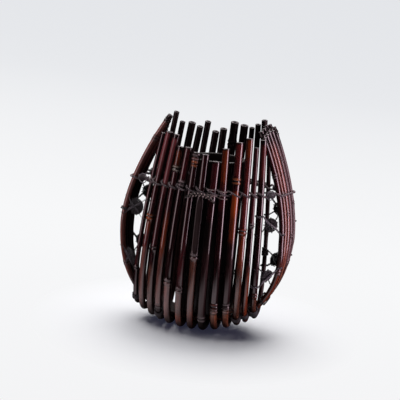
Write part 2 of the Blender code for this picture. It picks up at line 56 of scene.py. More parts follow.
BELLY_HALF_DEPTH = 0.058
MOUTH_HALF_DEPTH = 0.040
BELLY_HEIGHT = 0.1126
CROWN_HEIGHT = 0.2926
SPREAD_HEIGHT = 0.0626
LEFT_RISE_AND_POWER = (0.0321, 2.5)
RIGHT_RISE_AND_POWER = (0.0363, 1.77)
REST_DEPTH = 0.0013
FOOT_POWER = 3.2
TAPER_POWER = 1.5
SPREAD_POWER = 1.6
CANE_RADIUS = 0.005
RADIUS_SHARES = {-1: (0.60, 0.93, 0.88, 0.86, 0.98, 0.95, 1.0, 1.08, 0.96, 1.0, 0.92, 0.61, 0.83),
                 1: (0.72, 0.74, 0.98, 0.86, 0.82, 0.93, 0.93, 1.06, 1.03, 0.70, 0.74, 0.78, 0.56)}
FOOT_SHARES = {-1: (-0.847, -0.734, -0.594, -0.464, -0.336, -0.166, 0.0,
                    0.155, 0.316, 0.469, 0.603, 0.708, 0.806),
               1: (-0.825, -0.722, -0.605, -0.500, -0.365, -0.222, -0.080,
                   0.080, 0.243, 0.400, 0.530, 0.650, 0.797)}
HEAD_SHARES = {-1: (-0.641, -0.544, -0.431, -0.350, -0.235, -0.117, 0.007,
                    0.155, 0.262, 0.425, 0.545, 0.640, 0.711),
               1: (-0.608, -0.530, -0.406, -0.298, -0.197, -0.085, 0.023,
                   0.172, 0.312, 0.423, 0.510, 0.600, 0.690)}
HEIGHT_SHARES = {-1: (0.872, 0.883, 0.878, 0.831, 0.833, 0.817, 0.814,
                      0.790, 0.848, 0.880, 0.900, 0.863, 0.895),
                 1: (0.948, 0.903, 0.902, 0.886, 0.912, 0.869, 0.886,
                     0.922, 0.914, 0.909, 0.929, 0.953, 0.890)}
STRAP_RADIUS = 0.0035
STRAP_HALF_WIDTH = 0.1073
STRAP_MOUTH_HALF_WIDTH = 0.0595
STRAP_BELLY_HEIGHT = 0.1296
STRAP_CROWN_HEIGHT = 0.2776
STRAP_SWAY = 0.0046
STRAP_FOOT_POWER = 2.4
STRAP_TAPER_POWER = 1.75
STRAP_SWAY_POWER = 1.5
STRAP_SIDE_GAP = 0.0014
STRAP_LEFT_TURN = radians(4)
STRAP_RIGHT_TURN = radians(16)
STRAP_RIGHT_MOUTH_TURN = radians(20)
STRAP_HEIGHT_SHARES = {-1: (1.0, 0.972, 0.944, 0.920, 0.905), 1: (0.975, 0.985, 0.996, 0.998, 0.985)}
STRAP_CANES = 5
BAND_HEIGHT = 0.1926
BAND_CORD_RADIUS = 0.0008
BAND_EASE_SHARE = 1.13
TWIST_SHARE = 1.6
SPINDLE_TWIST_SHARES = (0.3, 0.7)
BRAID_RADIUS = 0.0027
BRAID_DROP = 0.0031
BRAID_SAG = 0.0065
BRAID_PLACE_SHARES = (-0.3, 0.0, 1.0, 2.0, 2.45)
BRAID_SAG_SHARES = (1.0, 0.54, 0.0, 0.54, 1.38)
BRAID_FIRST_CANE = 5
DISC_RADIUS = 0.0086
DISC_THICKNESS = 0.0036
SPINDLE_RADIUS = 0.0045
SPINDLE_END_RADIUS = 0.0038
SPINDLE_HALF_LENGTH_SHARE = 0.30
TIE_RADIUS = 0.0008
FRONT_DISC_HEIGHT_SHARES = (0.800, 0.452)
BACK_DISC_HEIGHT_SHARES = (0.862, 0.507)
DISC_CANE_TIE_RISE_SHARES = (0.062, -0.068)
DISC_STRAP_TIE_RISE_SHARES = (-0.062, 0.056)
DISC_LEAN_SHARES = (0.12, -0.35)
DISC_TURN_SHARES = (-0.10, 0.30)
FOOT_WRAP_RADIUS = 0.0006
FOOT_WRAP_CANES = (1, 4, 11, 12, 13)
FOOT_WRAP_TURNS = 2
STRAP_WRAP_RADIUS = 0.0009
STRAP_WRAP_HEIGHT_SHARES = (0.535, 0.180)
EDGE_WRAP_TURNS = 4
EDGE_WRAP_HEIGHT_SHARE = 0.35

# How finely the routes and the round pieces are drawn, and how near two points are one
LEG_STEPS = 24
FOOT_STEPS = 20
STICK_SIDES = 20
WRAP_STEPS = 16
WELD = 0.000004

# Stains of the smoked bamboo, as linear colours
BLACK = (0.003, 0.0015, 0.0015)
DUSK = (0.014, 0.0018, 0.0028)
PLUM = (0.040, 0.005, 0.007)
WINE = (0.085, 0.010, 0.010)
RUST = (0.130, 0.020, 0.006)
AMBER = (0.300, 0.046, 0.008)
UMBER = (0.075, 0.024, 0.015)
CHESTNUT = (0.200, 0.055, 0.042)
TAWNY = (0.240, 0.075, 0.040)
MAUVE = (0.170, 0.090, 0.095)
ROSE = (0.130, 0.024, 0.028)
PLANED = (0.014, 0.009, 0.010)
MAHOGANY = (0.130, 0.046, 0.038)
CUT_FACE = (0.130, 0.120, 0.125)
BORE = (0.006, 0.005, 0.005)
# The scars' pale colours are partly their own and partly painted highlight on the node ridges
SCAR = (0.200, 0.165, 0.170)
PALE_SCAR = (0.420, 0.390, 0.340)
GLOW = (0.420, 0.120, 0.040)


# Shape of the walls

def plan_share(x):
    """How far a wall stands out at x, as a share of its depth in the middle."""
    return sqrt(max(1 - (x / WALL_HALF_WIDTH) ** 2, 0))


def underside(x):
    """Height of the lowest line of the canes that cross under the basket at x, and its slope."""
    rise_here, power = LEFT_RISE_AND_POWER if x < 0 else RIGHT_RISE_AND_POWER
    out = abs(x / WALL_HALF_WIDTH)
    return rise_here * out ** power - REST_DEPTH, rise_here * power / WALL_HALF_WIDTH * out ** (power - 1)


def rise(side_share, power):
    """How high a rounded bottom has risen, as a share, this far out from its middle."""
    return 1 - (1 - min(abs(side_share), 1) ** power) ** (1 / power)


def reach(height_share, power):
    """How far out a rounded bottom is, as a share, at this share of its height."""
    return (1 - (1 - min(max(height_share, 0), 1)) ** power) ** (1 / power)


def lengths_along(places):
    """How far along a route each of its places lies."""
    sofar = [0.0]
    for before, after in zip(places, places[1:]):
        sofar.append(sofar[-1] + (after - before).length)
    return sofar


def half_of(rows, side):
    """One half of some rows, from the middle one to the first, side -1, or to the last, side 1."""
    middle = len(rows) // 2
    return rows[middle::-1] if side < 0 else rows[middle:]


def both_sides(full, shares, index):
    """A size of one cane on side -1 and on side 1."""
    return {side: full * shares[side][index] for side in (-1, 1)}


class BentCane:
    """A cane that runs down from one head, under the basket and up to its other head."""

    def bend(self, belly_height, power):
        """Find the points of the cane's middle line, from the head on side -1 round to the other."""
        places = []
        for step in range(LEG_STEPS):
            places.append(self.at(-1, self.tops[-1] + (belly_height - self.tops[-1]) * step / LEG_STEPS))
        for step in range(-FOOT_STEPS, FOOT_STEPS + 1):
            out = abs(sin(pi / 2 * step / FOOT_STEPS)) ** (2 / power)
            places.append(self.under(out if step > 0 else -out))
        for step in range(1, LEG_STEPS + 1):
            places.append(self.at(1, belly_height + (self.tops[1] - belly_height) * step / LEG_STEPS))
        self.places = places
        self.sofar = lengths_along(places)

    def level(self, side, height):
        """Where the cane passes a height, on side -1 or side 1."""
        half = half_of(self.places, side)
        heights = [place.z for place in half]
        return Vector([np.interp(height, heights, [place[axis] for place in half]) for axis in range(3)])

    def along(self, side, height):
        """How far along the cane it passes a height, on side -1 or side 1."""
        heights = [place.z for place in half_of(self.places, side)]
        return float(np.interp(height, heights, half_of(self.sofar, side)))


class Cane(BentCane):
    """One of the thirteen canes, from its front head, side -1, under the basket to its back head."""

    def __init__(self, index):
        self.radii = both_sides(CANE_RADIUS, RADIUS_SHARES, index)
        self.foot_radius = (self.radii[-1] + self.radii[1]) / 2
        self.feet = both_sides(WALL_HALF_WIDTH, FOOT_SHARES, index)
        self.heads = both_sides(WALL_HALF_WIDTH, HEAD_SHARES, index)
        self.tops = both_sides(CROWN_HEIGHT, HEIGHT_SHARES, index)
        self.middle = (self.feet[-1] + self.feet[1]) / 2
        self.plan = plan_share(self.middle)
        self.bottom = underside(self.middle)[0] + self.foot_radius
        self.bend(BELLY_HEIGHT, FOOT_POWER)

    def at(self, side, height):
        """Middle of the front leg, side -1, or the back leg, side 1, at a height."""
        lean = max(height - SPREAD_HEIGHT, 0) / (self.tops[side] - SPREAD_HEIGHT)
        x = self.feet[side] + (self.heads[side] - self.feet[side]) * lean ** SPREAD_POWER
        if height >= BELLY_HEIGHT:
            taper = ((height - BELLY_HEIGHT) / (CROWN_HEIGHT - BELLY_HEIGHT)) ** TAPER_POWER
            depth = BELLY_HALF_DEPTH - (BELLY_HALF_DEPTH - MOUTH_HALF_DEPTH) * taper
        else:
            climbed = (height - self.bottom) / (BELLY_HEIGHT - self.bottom)
            depth = BELLY_HALF_DEPTH * reach(climbed, FOOT_POWER)
        return Vector((x, side * depth * self.plan, height))

    def under(self, y_share):
        """Middle of the cane where it crosses under, y_share of the way out to a wall."""
        height = self.bottom + (BELLY_HEIGHT - self.bottom) * rise(y_share, FOOT_POWER)
        x = self.middle + (self.feet[1] - self.feet[-1]) / 2 * y_share
        if height > SPREAD_HEIGHT:
            x = self.at(1 if y_share > 0 else -1, height).x
        return Vector((x, BELLY_HALF_DEPTH * self.plan * y_share, height))

    def under_at(self, y):
        """Height of the cane's middle where it crosses under, at y."""
        crossing = self.places[LEG_STEPS:-LEG_STEPS]
        return np.interp(y, [place.y for place in crossing], [place.z for place in crossing])


CANES = [Cane(index) for index in range(len(FOOT_SHARES[1]))]
STAND_SHIFT = Vector((-CANES[len(CANES) // 2].middle, 0, 0))


# Shape of the strap

def strap_bed(x, y):
    """Height of a strap cane's middle where it lies on the canes that cross under it."""
    rests = []
    for cane in CANES:
        clear = (cane.foot_radius + STRAP_RADIUS + SEAT_GAP) * hypot(1, underside(cane.middle)[1])
        rests.append(cane.under_at(y) + clear)
    return float(np.interp(x, [cane.middle for cane in CANES], rests))


STRAP_BASE_PITCH = 2 * STRAP_RADIUS + SEAT_GAP
STRAP_BELLY_PITCH = 2 * STRAP_RADIUS + STRAP_SIDE_GAP
STRAP_BOTTOM = strap_bed(0, 0)


class StrapCane(BentCane):
    """One cane of the strap, from its left head, side -1, under the tube to its right head."""

    def __init__(self, index):
        self.place = index - (STRAP_CANES - 1) / 2
        self.tops = both_sides(STRAP_CROWN_HEIGHT, STRAP_HEIGHT_SHARES, index)
        self.bend(STRAP_BELLY_HEIGHT, STRAP_FOOT_POWER)

    def at(self, side, height):
        """Middle of the strap cane on the left, side -1, or the right, side 1, at a height."""
        if height >= STRAP_BELLY_HEIGHT:
            climbed = (height - STRAP_BELLY_HEIGHT) / (STRAP_CROWN_HEIGHT - STRAP_BELLY_HEIGHT)
            draw_in = (STRAP_HALF_WIDTH - STRAP_MOUTH_HALF_WIDTH) * climbed ** STRAP_TAPER_POWER
            out = STRAP_HALF_WIDTH - draw_in
            sway = STRAP_SWAY * climbed ** STRAP_SWAY_POWER
            pitch = STRAP_BELLY_PITCH
            turn = STRAP_LEFT_TURN
            if side > 0:
                turn = STRAP_RIGHT_TURN + (STRAP_RIGHT_MOUTH_TURN - STRAP_RIGHT_TURN) * climbed ** 2
        else:
            climbed = (height - STRAP_BOTTOM) / (STRAP_BELLY_HEIGHT - STRAP_BOTTOM)
            out = STRAP_HALF_WIDTH * reach(climbed, STRAP_FOOT_POWER)
            sway = 0
            opened = max(climbed, 0) ** 2
            pitch = STRAP_BASE_PITCH + (STRAP_BELLY_PITCH - STRAP_BASE_PITCH) * opened
            turn = (STRAP_LEFT_TURN if side < 0 else STRAP_RIGHT_TURN) * opened
        offset = self.place * pitch
        return Vector((side * out + sway + offset * sin(turn), offset * cos(turn), height))

    def under(self, x_share):
        """Middle of the strap cane where it turns under, x_share of the way out to a side."""
        height = STRAP_BOTTOM + (STRAP_BELLY_HEIGHT - STRAP_BOTTOM) * rise(x_share, STRAP_FOOT_POWER)
        place = self.at(1 if x_share > 0 else -1, height)
        if abs(place.x) < abs(CANES[0].middle):
            place.z = max(place.z, strap_bed(place.x, place.y))
        return place


STRAP = [StrapCane(index) for index in range(STRAP_CANES)]


# Small tools of the bench

def drop_selection():
    """Leave edit mode and deselect everything."""
    if bpy.context.mode != "OBJECT":
        bpy.ops.object.mode_set(mode="OBJECT")
    bpy.ops.object.select_all(action="DESELECT")


def pick(piece):
    """Make a piece the only selected one, and the active one."""
    drop_selection()
    piece.select_set(True)
    bpy.context.view_layer.objects.active = piece


@contextmanager
def whole_mesh(piece):
    """Edit mode, with the whole of a piece selected."""
    pick(piece)
    bpy.ops.object.mode_set(mode="EDIT")
    bpy.ops.mesh.select_all(action="SELECT")
    yield
    bpy.ops.object.mode_set(mode="OBJECT")


def placed(name, data):
    """A new object in the scene that shows some data."""
    made = bpy.data.objects.new(name, data)
    bpy.context.scene.collection.objects.link(made)
    return made


def within(value, low, high):
    """How far a value has come from low to high, from 0 to 1."""
    return min(1.0, max(0.0, (value - low) / (high - low)))


def ringed(centre, out, first, second, angle):
    """A place this far out from a centre, at an angle from one way towards a second."""
    return centre + out * (first * cos(angle) + second * sin(angle))


def turned(name, profile, sides=STICK_SIDES, axis=(1, 0, 0)):
    """A profile of (along, out) points spun about an axis, closed at both ends on the axis."""
    mesh = bpy.data.meshes.new(name)
    points = [(along, 0, out) if axis[0] else (out, 0, along) for along, out in profile]
    mesh.from_pydata(points, [(step, step + 1) for step in range(len(points) - 1)], [])
    piece = placed(name, mesh)
    with whole_mesh(piece):
        bpy.ops.mesh.spin(steps=sides, angle=2 * pi, center=(0, 0, 0), axis=axis)
    with whole_mesh(piece):
        bpy.ops.mesh.remove_doubles(threshold=WELD)
    with whole_mesh(piece):
        bpy.ops.mesh.normals_make_consistent(inside=False)
    return piece


def smooth(piece, angle=40):
    pick(piece)
    bpy.ops.object.shade_smooth_by_angle(angle=radians(angle))


def rows_of(parts, field):
    """A field of a mesh's points or normals as rows of x, y, z."""
    rows = np.empty(len(parts) * 3)
    parts.foreach_get(field, rows)
    return rows.reshape(-1, 3)


def note_values(mesh, name, kind, values):
    """Write values on a mesh's points, for its material to read."""
    attribute = mesh.attributes.new(name, kind, "POINT")
    field = "color" if kind == "FLOAT_COLOR" else "vector" if kind == "FLOAT_VECTOR" else "value"
    attribute.data.foreach_set(field, np.asarray(values, np.float32).ravel())


def line_object(name, places, closed=False):
    """A curve object along places, shifted to where the basket stands, as a poly line."""
    data = bpy.data.curves.new(name, "CURVE")
    data.dimensions = "3D"
    spline = data.splines.new("POLY")
    spline.points.add(len(places) - 1)
    for point, place in zip(spline.points, places):
        point.co = (*(place + STAND_SHIFT), 1.0)
    spline.use_cyclic_u = closed
    return placed(name, data)


def bend_along(piece, route):
    """Lay a straight piece, which starts at the origin and runs along +X, along a route."""
    guide = line_object("guide", route)
    bend = piece.modifiers.new("bend", "CURVE")
    bend.object = guide
    bend.deform_axis = "POS_X"
    pick(piece)
    bpy.ops.object.modifier_apply(modifier=bend.name)
    bpy.data.objects.remove(guide, do_unlink=True)


def finished(piece, finish, node, body="basket"):
    """Give a piece its material and its body, and let it stand for its plain solid."""
    piece.data.materials.clear()
    piece.data.materials.append(finish)
    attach(piece, body)
    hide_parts(node)
    return piece


# Bamboo sticks: their bores, their rims, how deep the painted shade on their sides is, and how deep the
# stain of the scars and the seams goes

BORE_SHARE = 0.52
BORE_DEPTH = 0.012
RIM = 0.0004
STICK_STEP = 0.004
STAIN_BLEND = 0.018
SIDE_SHADE = 0.10
STRAP_SIDE_SHADE = 0.30
SCAR_SHARE = 0.75
SCAR_WEAR = 0.6
SEAM_SHARE = 0.9

# The dark seams at a node: how dark, how far from its middle and how wide, both in radii
SEAMS = ((1.6, 0.0, 0.22), (0.7, 0.95, 0.3))
NODE_REACH = 2.2

# A node across a cane: how far along, in radii, how far out, as a share, and how pale its scar is there,
# partly the scar's own colour and partly painted highlight on the ridge
NODE_OUTLINE = ((-2.2, 1.0, 0.0), (-1.5, 1.02, 0.0), (-0.95, 1.05, 0.0), (-0.66, 1.11, 0.5),
                (-0.46, 1.17, 1.0), (-0.28, 1.16, 0.6), (-0.16, 1.07, 0.0), (0.0, 1.03, 0.0),
                (0.14, 1.06, 0.0), (0.30, 1.14, 0.4), (0.50, 1.18, 0.9), (0.70, 1.13, 0.3),
                (1.0, 1.05, 0.0), (1.5, 1.02, 0.0), (2.2, 1.0, 0.0))


def mixed(first, second, share):
    return tuple(a + (b - a) * share for a, b in zip(first, second))


def stick_profile(length, radius_at, nodes):
    """The outline of a hollow stick, from the floor of one bore to the floor of the other."""
    count = round(length / STICK_STEP)
    stops = {length * step / count: 1.0 for step in range(1, count)}
    for place, swell, *_ in nodes:
        for along, out, _ in NODE_OUTLINE:
            stops[place + along * radius_at(place)] = 1 + (out - 1) * swell
    kept = []
    for place in sorted(stops):
        if not 3 * RIM < place < length - 3 * RIM:
            continue
        past = [abs(place - node[0]) - NODE_REACH * radius_at(node[0]) for node in nodes]
        on_node = any(gap < 0 for gap in past) and not any(abs(gap) < RIM for gap in past)
        if (on_node and stops[place] == 1.0) or (kept and place - kept[-1][0] < RIM / 10):
            continue
        kept.append((place, stops[place] * radius_at(place)))

    def head(radius):
        bore = radius * BORE_SHARE
        return [(BORE_DEPTH, 0), (BORE_DEPTH, bore), (RIM, bore), (0, bore + RIM), (0, radius - RIM),
                (RIM, radius)]

    last = [(length - along, out) for along, out in reversed(head(radius_at(length)))]
    return head(radius_at(0)) + kept + last


def stick_stain(place, out, length, radius_at, nodes, stains):
    """The stain and the polish of a stick at a point of its outline."""
    radius = radius_at(place)
    from_end = min(place, length - place)
    if out < radius * BORE_SHARE * 1.02 and from_end > RIM / 2:
        return (*BORE, 0.0)
    if from_end < RIM / 2:
        return (*CUT_FACE, 0.2)
    if from_end < 2 * RIM:
        return (*BLACK, 0.8)
    limits = [limit for limit, _ in stains]
    rows = [(*stain, 1.0) if len(stain) == 3 else stain for _, stain in stains]
    number = min(int(np.searchsorted(limits, place)), len(rows) - 1)
    colour = rows[number]
    if number + 1 < len(rows) and not any(abs(limits[number] - node[0]) < radius for node in nodes):
        stretch = limits[number] - (limits[number - 1] if number else 0.0)
        blend = max(0.0, 1 - (limits[number] - place) / min(STAIN_BLEND, stretch / 4))
        colour = mixed(colour, rows[number + 1], blend)
    *colour, polish = colour
    for node, _, *scar in nodes:
        across = (place - node) / radius
        pale = np.interp(across, [row[0] for row in NODE_OUTLINE], [row[2] for row in NODE_OUTLINE])
        if pale > 0:
            colour = mixed(colour, scar[0] if scar else SCAR, SCAR_SHARE * pale)
            polish *= 1 - SCAR_WEAR * pale
        dark = sum(deep * max(0.0, 1 - abs(abs(across) - out_at) / wide) for deep, out_at, wide in SEAMS)
        colour = mixed(colour, BLACK, min(dark, 1.0) * SEAM_SHARE)
    return (*colour, polish)


def bamboo_stick(name, cane, radii, nodes, stains, seed, side_shade=SIDE_SHADE):
    """A cane with its nodes, hollow cut ends, stains and painted shade on its sides and underside, laid
    along its middle line.

    radii are (length along, radius), nodes are (length along, swell) and perhaps a scar's colour,
    and stains are (length along, colour) up to where each holds.
    """
    length = cane.sofar[-1]

    def radius_at(place):
        return float(np.interp(place, [along for along, _ in radii], [size for _, size in radii]))

    piece = turned(name, stick_profile(length, radius_at, nodes))
    straight = rows_of(piece.data.vertices, "co")
    outs = np.hypot(straight[:, 1], straight[:, 2])
    known = {}
    colours = []
    for place, out in zip(straight[:, 0], outs):
        key = (round(place, 5), round(out, 4))
        if key not in known:
            known[key] = stick_stain(place, out, length, radius_at, nodes, stains)
        colours.append(known[key])
    note_values(piece.data, "stain", "FLOAT_COLOR", colours)
    note_values(piece.data, "grain", "FLOAT_VECTOR", straight + np.array([seed * 0.9, seed * 0.13, 0]))
    bend_along(piece, cane.places)
    smooth(piece)
    paint_side_shade(piece, colours, side_shade)
    return piece


# How far a face of a cane looks out of the basket, or down, where painted shade darkens its stain and its
# polish is dulled
SIDE_FACING = (0.38, 0.94)
POLISH_FACING = (0.05, 0.55)
UNDER_FACING = (0.30, 0.70)
UNDER_PAINTED_SHADE = 0.92
SIDE_POLISH = 0.15
BELLY_SHARES = (WALL_HALF_WIDTH, BELLY_HALF_DEPTH, BELLY_HEIGHT)


def paint_side_shade(piece, colours, side_shade):
    """Paint shade on the sides of a cane that look away from the outside of the basket, and on its
    underside, and dull the polish there.
    """
    mesh = piece.data
    turned_to = rows_of(mesh.vertex_normals, "vector")
    from_middle = rows_of(mesh.vertices, "co") - np.array(STAND_SHIFT) - np.array([0, 0, BELLY_HEIGHT])
    from_middle[:, 2] = np.minimum(from_middle[:, 2], 0)
    outward = from_middle / np.array(BELLY_SHARES) ** 2
    outward /= np.maximum(np.linalg.norm(outward, axis=1), 0.000001)[:, None]
    facing = (turned_to * outward).sum(axis=1)

    def faced(values, limits):
        return np.clip((values - limits[0]) / (limits[1] - limits[0]), 0, 1)

    share = faced(facing, SIDE_FACING)
    shade = side_shade + (1 - side_shade) * share * share * (3 - 2 * share)
    shaded_stain = np.array(colours)
    shaded_stain[:, :3] *= shade[:, None]
    shaded_stain[:, 3] *= SIDE_POLISH + (1 - SIDE_POLISH) * faced(facing, POLISH_FACING)
    shaded_stain *= (1 - UNDER_PAINTED_SHADE * faced(-turned_to[:, 2], UNDER_FACING))[:, None]
    keep = [tuple(colour[:3]) in (CUT_FACE, BORE) for colour in colours]
    shaded_stain[keep] = np.array(colours)[keep]
    mesh.attributes["stain"].data.foreach_set("color", shaded_stain.astype(np.float32).ravel())


# Where the front and back nodes of each cane are, as shares of the crown's height, how much they swell,
# and the colour of the scar where it isn't the usual one
FRONT_NODE_SHARES = (
    ((0.256, 1.0),), ((0.503, 1.3, GLOW),), ((0.373, 1.3, DUSK),),
    ((0.735, 1.9, PALE_SCAR), (0.108, 1.0, DUSK)),
    ((0.677, 1.0), (0.237, 1.2)), ((0.797, 1.5), (0.768, 0.7, GLOW), (0.21, 1.1)), ((0.371, 1.1),),
    ((0.089, 0.8),), ((0.158, 1.0, RUST), (0.135, 0.8)), ((0.715, 1.2, GLOW), (0.163, 1.0), (0.14, 0.8)),
    ((0.502, 1.3, RUST),), ((0.529, 2.2), (0.11, 1.2)), ((0.211, 1.2, RUST), (0.12, 1.4, DUSK)))
BACK_NODE_SHARES = (((0.62, 1.0),), ((0.40, 1.0),), ((0.70, 1.0), (0.20, 1.0)), ((0.52, 1.0),),
                    ((0.66, 1.0), (0.16, 1.0)), ((0.34, 1.0),), ((0.58, 1.0),), ((0.823, 1.1), (0.30, 1.0)),
                    ((0.48, 1.0),), ((0.70, 1.0), (0.22, 1.0)), ((0.38, 1.0),), ((0.60, 1.0),),
                    ((0.44, 1.0),))

# The stains of each front leg, from the head down: the share of the crown's height where each ends,
# and its colour, with its polish where it isn't full
FRONT_STAIN_SHARES = (
    ((0.80, DUSK), (0.256, PLUM), (0.10, DUSK), (0.0, BLACK)),
    ((0.875, BLACK), (0.68, (*ROSE, 0.6)), (0.503, PLUM), (0.486, AMBER), (0.43, RUST), (0.36, WINE),
     (0.0, MAHOGANY)),
    ((0.86, BLACK), (0.60, (*ROSE, 0.6)), (0.373, PLUM), (0.28, DUSK), (0.0, UMBER)),
    ((0.81, DUSK), (0.735, RUST), (0.50, PLUM), (0.33, RUST), (0.108, MAHOGANY), (0.0, BLACK)),
    ((0.677, PLUM), (0.30, DUSK), (0.237, DUSK), (0.0, MAHOGANY)),
    ((0.797, DUSK), (0.765, RUST), (0.42, DUSK), (0.21, PLUM), (0.07, UMBER), (0.0, AMBER)),
    ((0.62, DUSK), (0.371, (*BLACK, 0.6)), (0.10, UMBER), (0.0, RUST)),
    ((0.62, PLUM), (0.52, DUSK), (0.38, (*BLACK, 0.5)), (0.060, (*DUSK, 0.55)), (0.0, BLACK)),
    ((0.68, RUST), (0.58, PLUM), (0.30, DUSK), (0.147, DUSK), (0.0, TAWNY)),
    ((0.715, WINE), (0.66, PLUM), (0.55, AMBER), (0.44, RUST), (0.30, (*DUSK, 0.65)), (0.152, (*DUSK, 0.65)),
     (0.0, TAWNY)),
    ((0.80, RUST), (0.502, WINE), (0.30, RUST), (0.0, UMBER)),
    ((0.529, (*PLUM, 0.55)), (0.30, DUSK), (0.0, RUST)),
    ((0.865, BLACK), (0.70, (*WINE, 0.5)), (0.40, DUSK), (0.211, DUSK), (0.12, UMBER), (0.0, BLACK)),
)
BACK_STAINS = (WINE, PLUM, UMBER, RUST, DUSK, WINE, CHESTNUT)
BACK_HEAD_LENGTH = 0.030
PLANED_CANE = 6
PLANED_SHARES = (0.385, 0.625)
PLANED_DEPTH_SHARE = 0.70
PLANED_EASE_LENGTH = 0.004


def along_rows(cane, side, crown, rows):
    """Rows with how far along the cane each is in place of its share of the crown's height."""
    return [(cane.along(side, crown * share), *rest) for share, *rest in rows]


def make_canes(finish):
    """The thirteen canes, each one stick from its front head to its back head."""
    canes = []
    for index, cane in enumerate(CANES):
        name = f"cane_{index + 1:02d}"
        length = cane.sofar[-1]
        radii = ((0, cane.radii[-1]), (cane.sofar[LEG_STEPS], cane.radii[-1]),
                 (cane.sofar[-LEG_STEPS - 1], cane.radii[1]), (length, cane.radii[1]))
        nodes = along_rows(cane, -1, CROWN_HEIGHT, FRONT_NODE_SHARES[index])
        nodes += along_rows(cane, 1, CROWN_HEIGHT, BACK_NODE_SHARES[index])
        stains = along_rows(cane, -1, CROWN_HEIGHT, FRONT_STAIN_SHARES[index])
        stains[-1] = (length / 2, stains[-1][1])
        stains += [(nodes[-1][0], BACK_STAINS[index % len(BACK_STAINS)]),
                   (length - BACK_HEAD_LENGTH, BACK_STAINS[(index + 2) % len(BACK_STAINS)]), (length, BLACK)]
        piece = bamboo_stick(name, cane, radii, sorted(nodes), stains, index + 1)
        if index == PLANED_CANE:
            plane_flat(piece, cane)
        if min(vertex.co.z for vertex in piece.data.vertices) < 0:
            stand_flat(piece)
        canes.append(finished(piece, finish, name))
    return canes


def plane_flat(piece, cane):
    """Plane the front of a cane flat between two heights, and leave the planed place dull."""
    low, high = (CROWN_HEIGHT * share for share in PLANED_SHARES)
    mesh = piece.data
    stain = mesh.attributes["stain"]
    for vertex in mesh.vertices:
        height = vertex.co.z
        if vertex.co.y > 0 or not low < height < high:
            continue
        middle = cane.level(-1, height) + STAND_SHIFT
        ease = min(1.0, (height - low) / PLANED_EASE_LENGTH, (high - height) / PLANED_EASE_LENGTH)
        limit = cane.radii[-1] * (1 - (1 - PLANED_DEPTH_SHARE) * ease)
        if middle.y - vertex.co.y > limit * 0.98:
            vertex.co.y = max(vertex.co.y, middle.y - limit)
            stain.data[vertex.index].color = (*PLANED, 1 - 0.75 * ease)


def stand_flat(piece):
    """Cut a piece level with the table."""
    with whole_mesh(piece):
        bpy.ops.mesh.bisect(plane_co=(0, 0, 0), plane_no=(0, 0, -1), use_fill=True, clear_outer=True,
                            threshold=WELD / 4)


# Where the nodes of each strap cane are, as shares of the strap's crown, and its stains, with painted light
# low on the right, and heads
STRAP_LEFT_NODE_SHARES = ((0.886, 0.27), (0.90, 0.33), (0.715, 0.30), (0.80, 0.256), (0.66, 0.38))
STRAP_LEFT_STAINS = (CHESTNUT, (*BLACK, 0.15), (*DUSK, 0.5), (*BLACK, 0.15), (*DUSK, 0.6))
STRAP_SHOULDER_STAINS = (CHESTNUT, (*WINE, 0.7), CHESTNUT, (*PLUM, 0.7), (*WINE, 0.7))
STRAP_RIGHT_STAINS = (PLUM, (*RUST, 0.8), CHESTNUT, (*MAUVE, 0.5), (*MAUVE, 0.6))
# Low on the right, canes 1, 3 and 5 are lighter, partly their own stain and partly painted light bounced up
# from the table
STRAP_LOW_STAINS_AND_LIGHT = (RUST, (*DUSK, 0.3), TAWNY, (*DUSK, 0.3), CHESTNUT)
STRAP_RIGHT_NODE_SHARES = ((0.779, 0.33), (0.69, 0.26), (0.60, 0.22), (0.495, 0.84), (0.64, 0.36))
STRAP_LEFT_STAIN_SHARE = 0.36
STRAP_LOW_STAIN_AND_LIGHT_SHARE = 0.85
STRAP_NODE_SWELL = 1.1
STRAP_LEFT_HEAD, STRAP_LEFT_HEAD_LENGTH = (0.0075, 1.3, BLACK), 0.012
STRAP_RIGHT_HEAD_PLACE, STRAP_RIGHT_HEAD_SWELL, STRAP_RIGHT_HEAD_LENGTH = 0.0085, 1.8, 0.017


def make_strap(finish):
    """The five canes of the strap."""
    for index, cane in enumerate(STRAP):
        name = f"strap_cane_{index + 1}"
        length = cane.sofar[-1]
        nodes = [STRAP_LEFT_HEAD, (length - STRAP_RIGHT_HEAD_PLACE, STRAP_RIGHT_HEAD_SWELL, BLACK)]
        for side, shares in ((-1, STRAP_LEFT_NODE_SHARES[index]), (1, STRAP_RIGHT_NODE_SHARES[index])):
            nodes += [(cane.along(side, STRAP_CROWN_HEIGHT * share), STRAP_NODE_SWELL) for share in shares]
        stains = [(STRAP_LEFT_HEAD_LENGTH, BLACK),
                  (cane.along(-1, BAND_HEIGHT), STRAP_SHOULDER_STAINS[index]),
                  (length * STRAP_LEFT_STAIN_SHARE, STRAP_LEFT_STAINS[index]), (length / 2, DUSK),
                  (cane.along(1, STRAP_BELLY_HEIGHT * STRAP_LOW_STAIN_AND_LIGHT_SHARE), STRAP_LOW_STAINS_AND_LIGHT[index]),
                  (length - STRAP_RIGHT_HEAD_LENGTH, STRAP_RIGHT_STAINS[index]), (length, BLACK)]
        piece = bamboo_stick(name, cane, ((0, STRAP_RADIUS), (length, STRAP_RADIUS)),
                             sorted(nodes), stains, 20 + index, STRAP_SIDE_SHADE)
        finished(piece, finish, name)


# Cords

# How far from a cord's middle its plies go from painted shade in the valleys to their palest on the crests
CREST_SHARES = (0.35, 0.95)


def round_off(places, closed=False, steps=6):
    """A smooth run through places, with a few points between each pair."""
    rows = [Vector(place) for place in places]
    count = len(rows)
    made = []
    for index in range(count if closed else count - 1):
        before = rows[index - 1] if closed or index > 0 else 2 * rows[0] - rows[1]
        here, there = rows[index], rows[(index + 1) % count]
        after = rows[(index + 2) % count] if closed or index + 2 < count else 2 * there - here
        for step in range(steps):
            t = step / steps
            made.append(0.5 * (2 * here + (there - before) * t
                               + (2 * before - 5 * here + 4 * there - after) * t ** 2
                               + (3 * here - before - 3 * there + after) * t ** 3))
    if not closed:
        made.append(rows[-1])
    return made


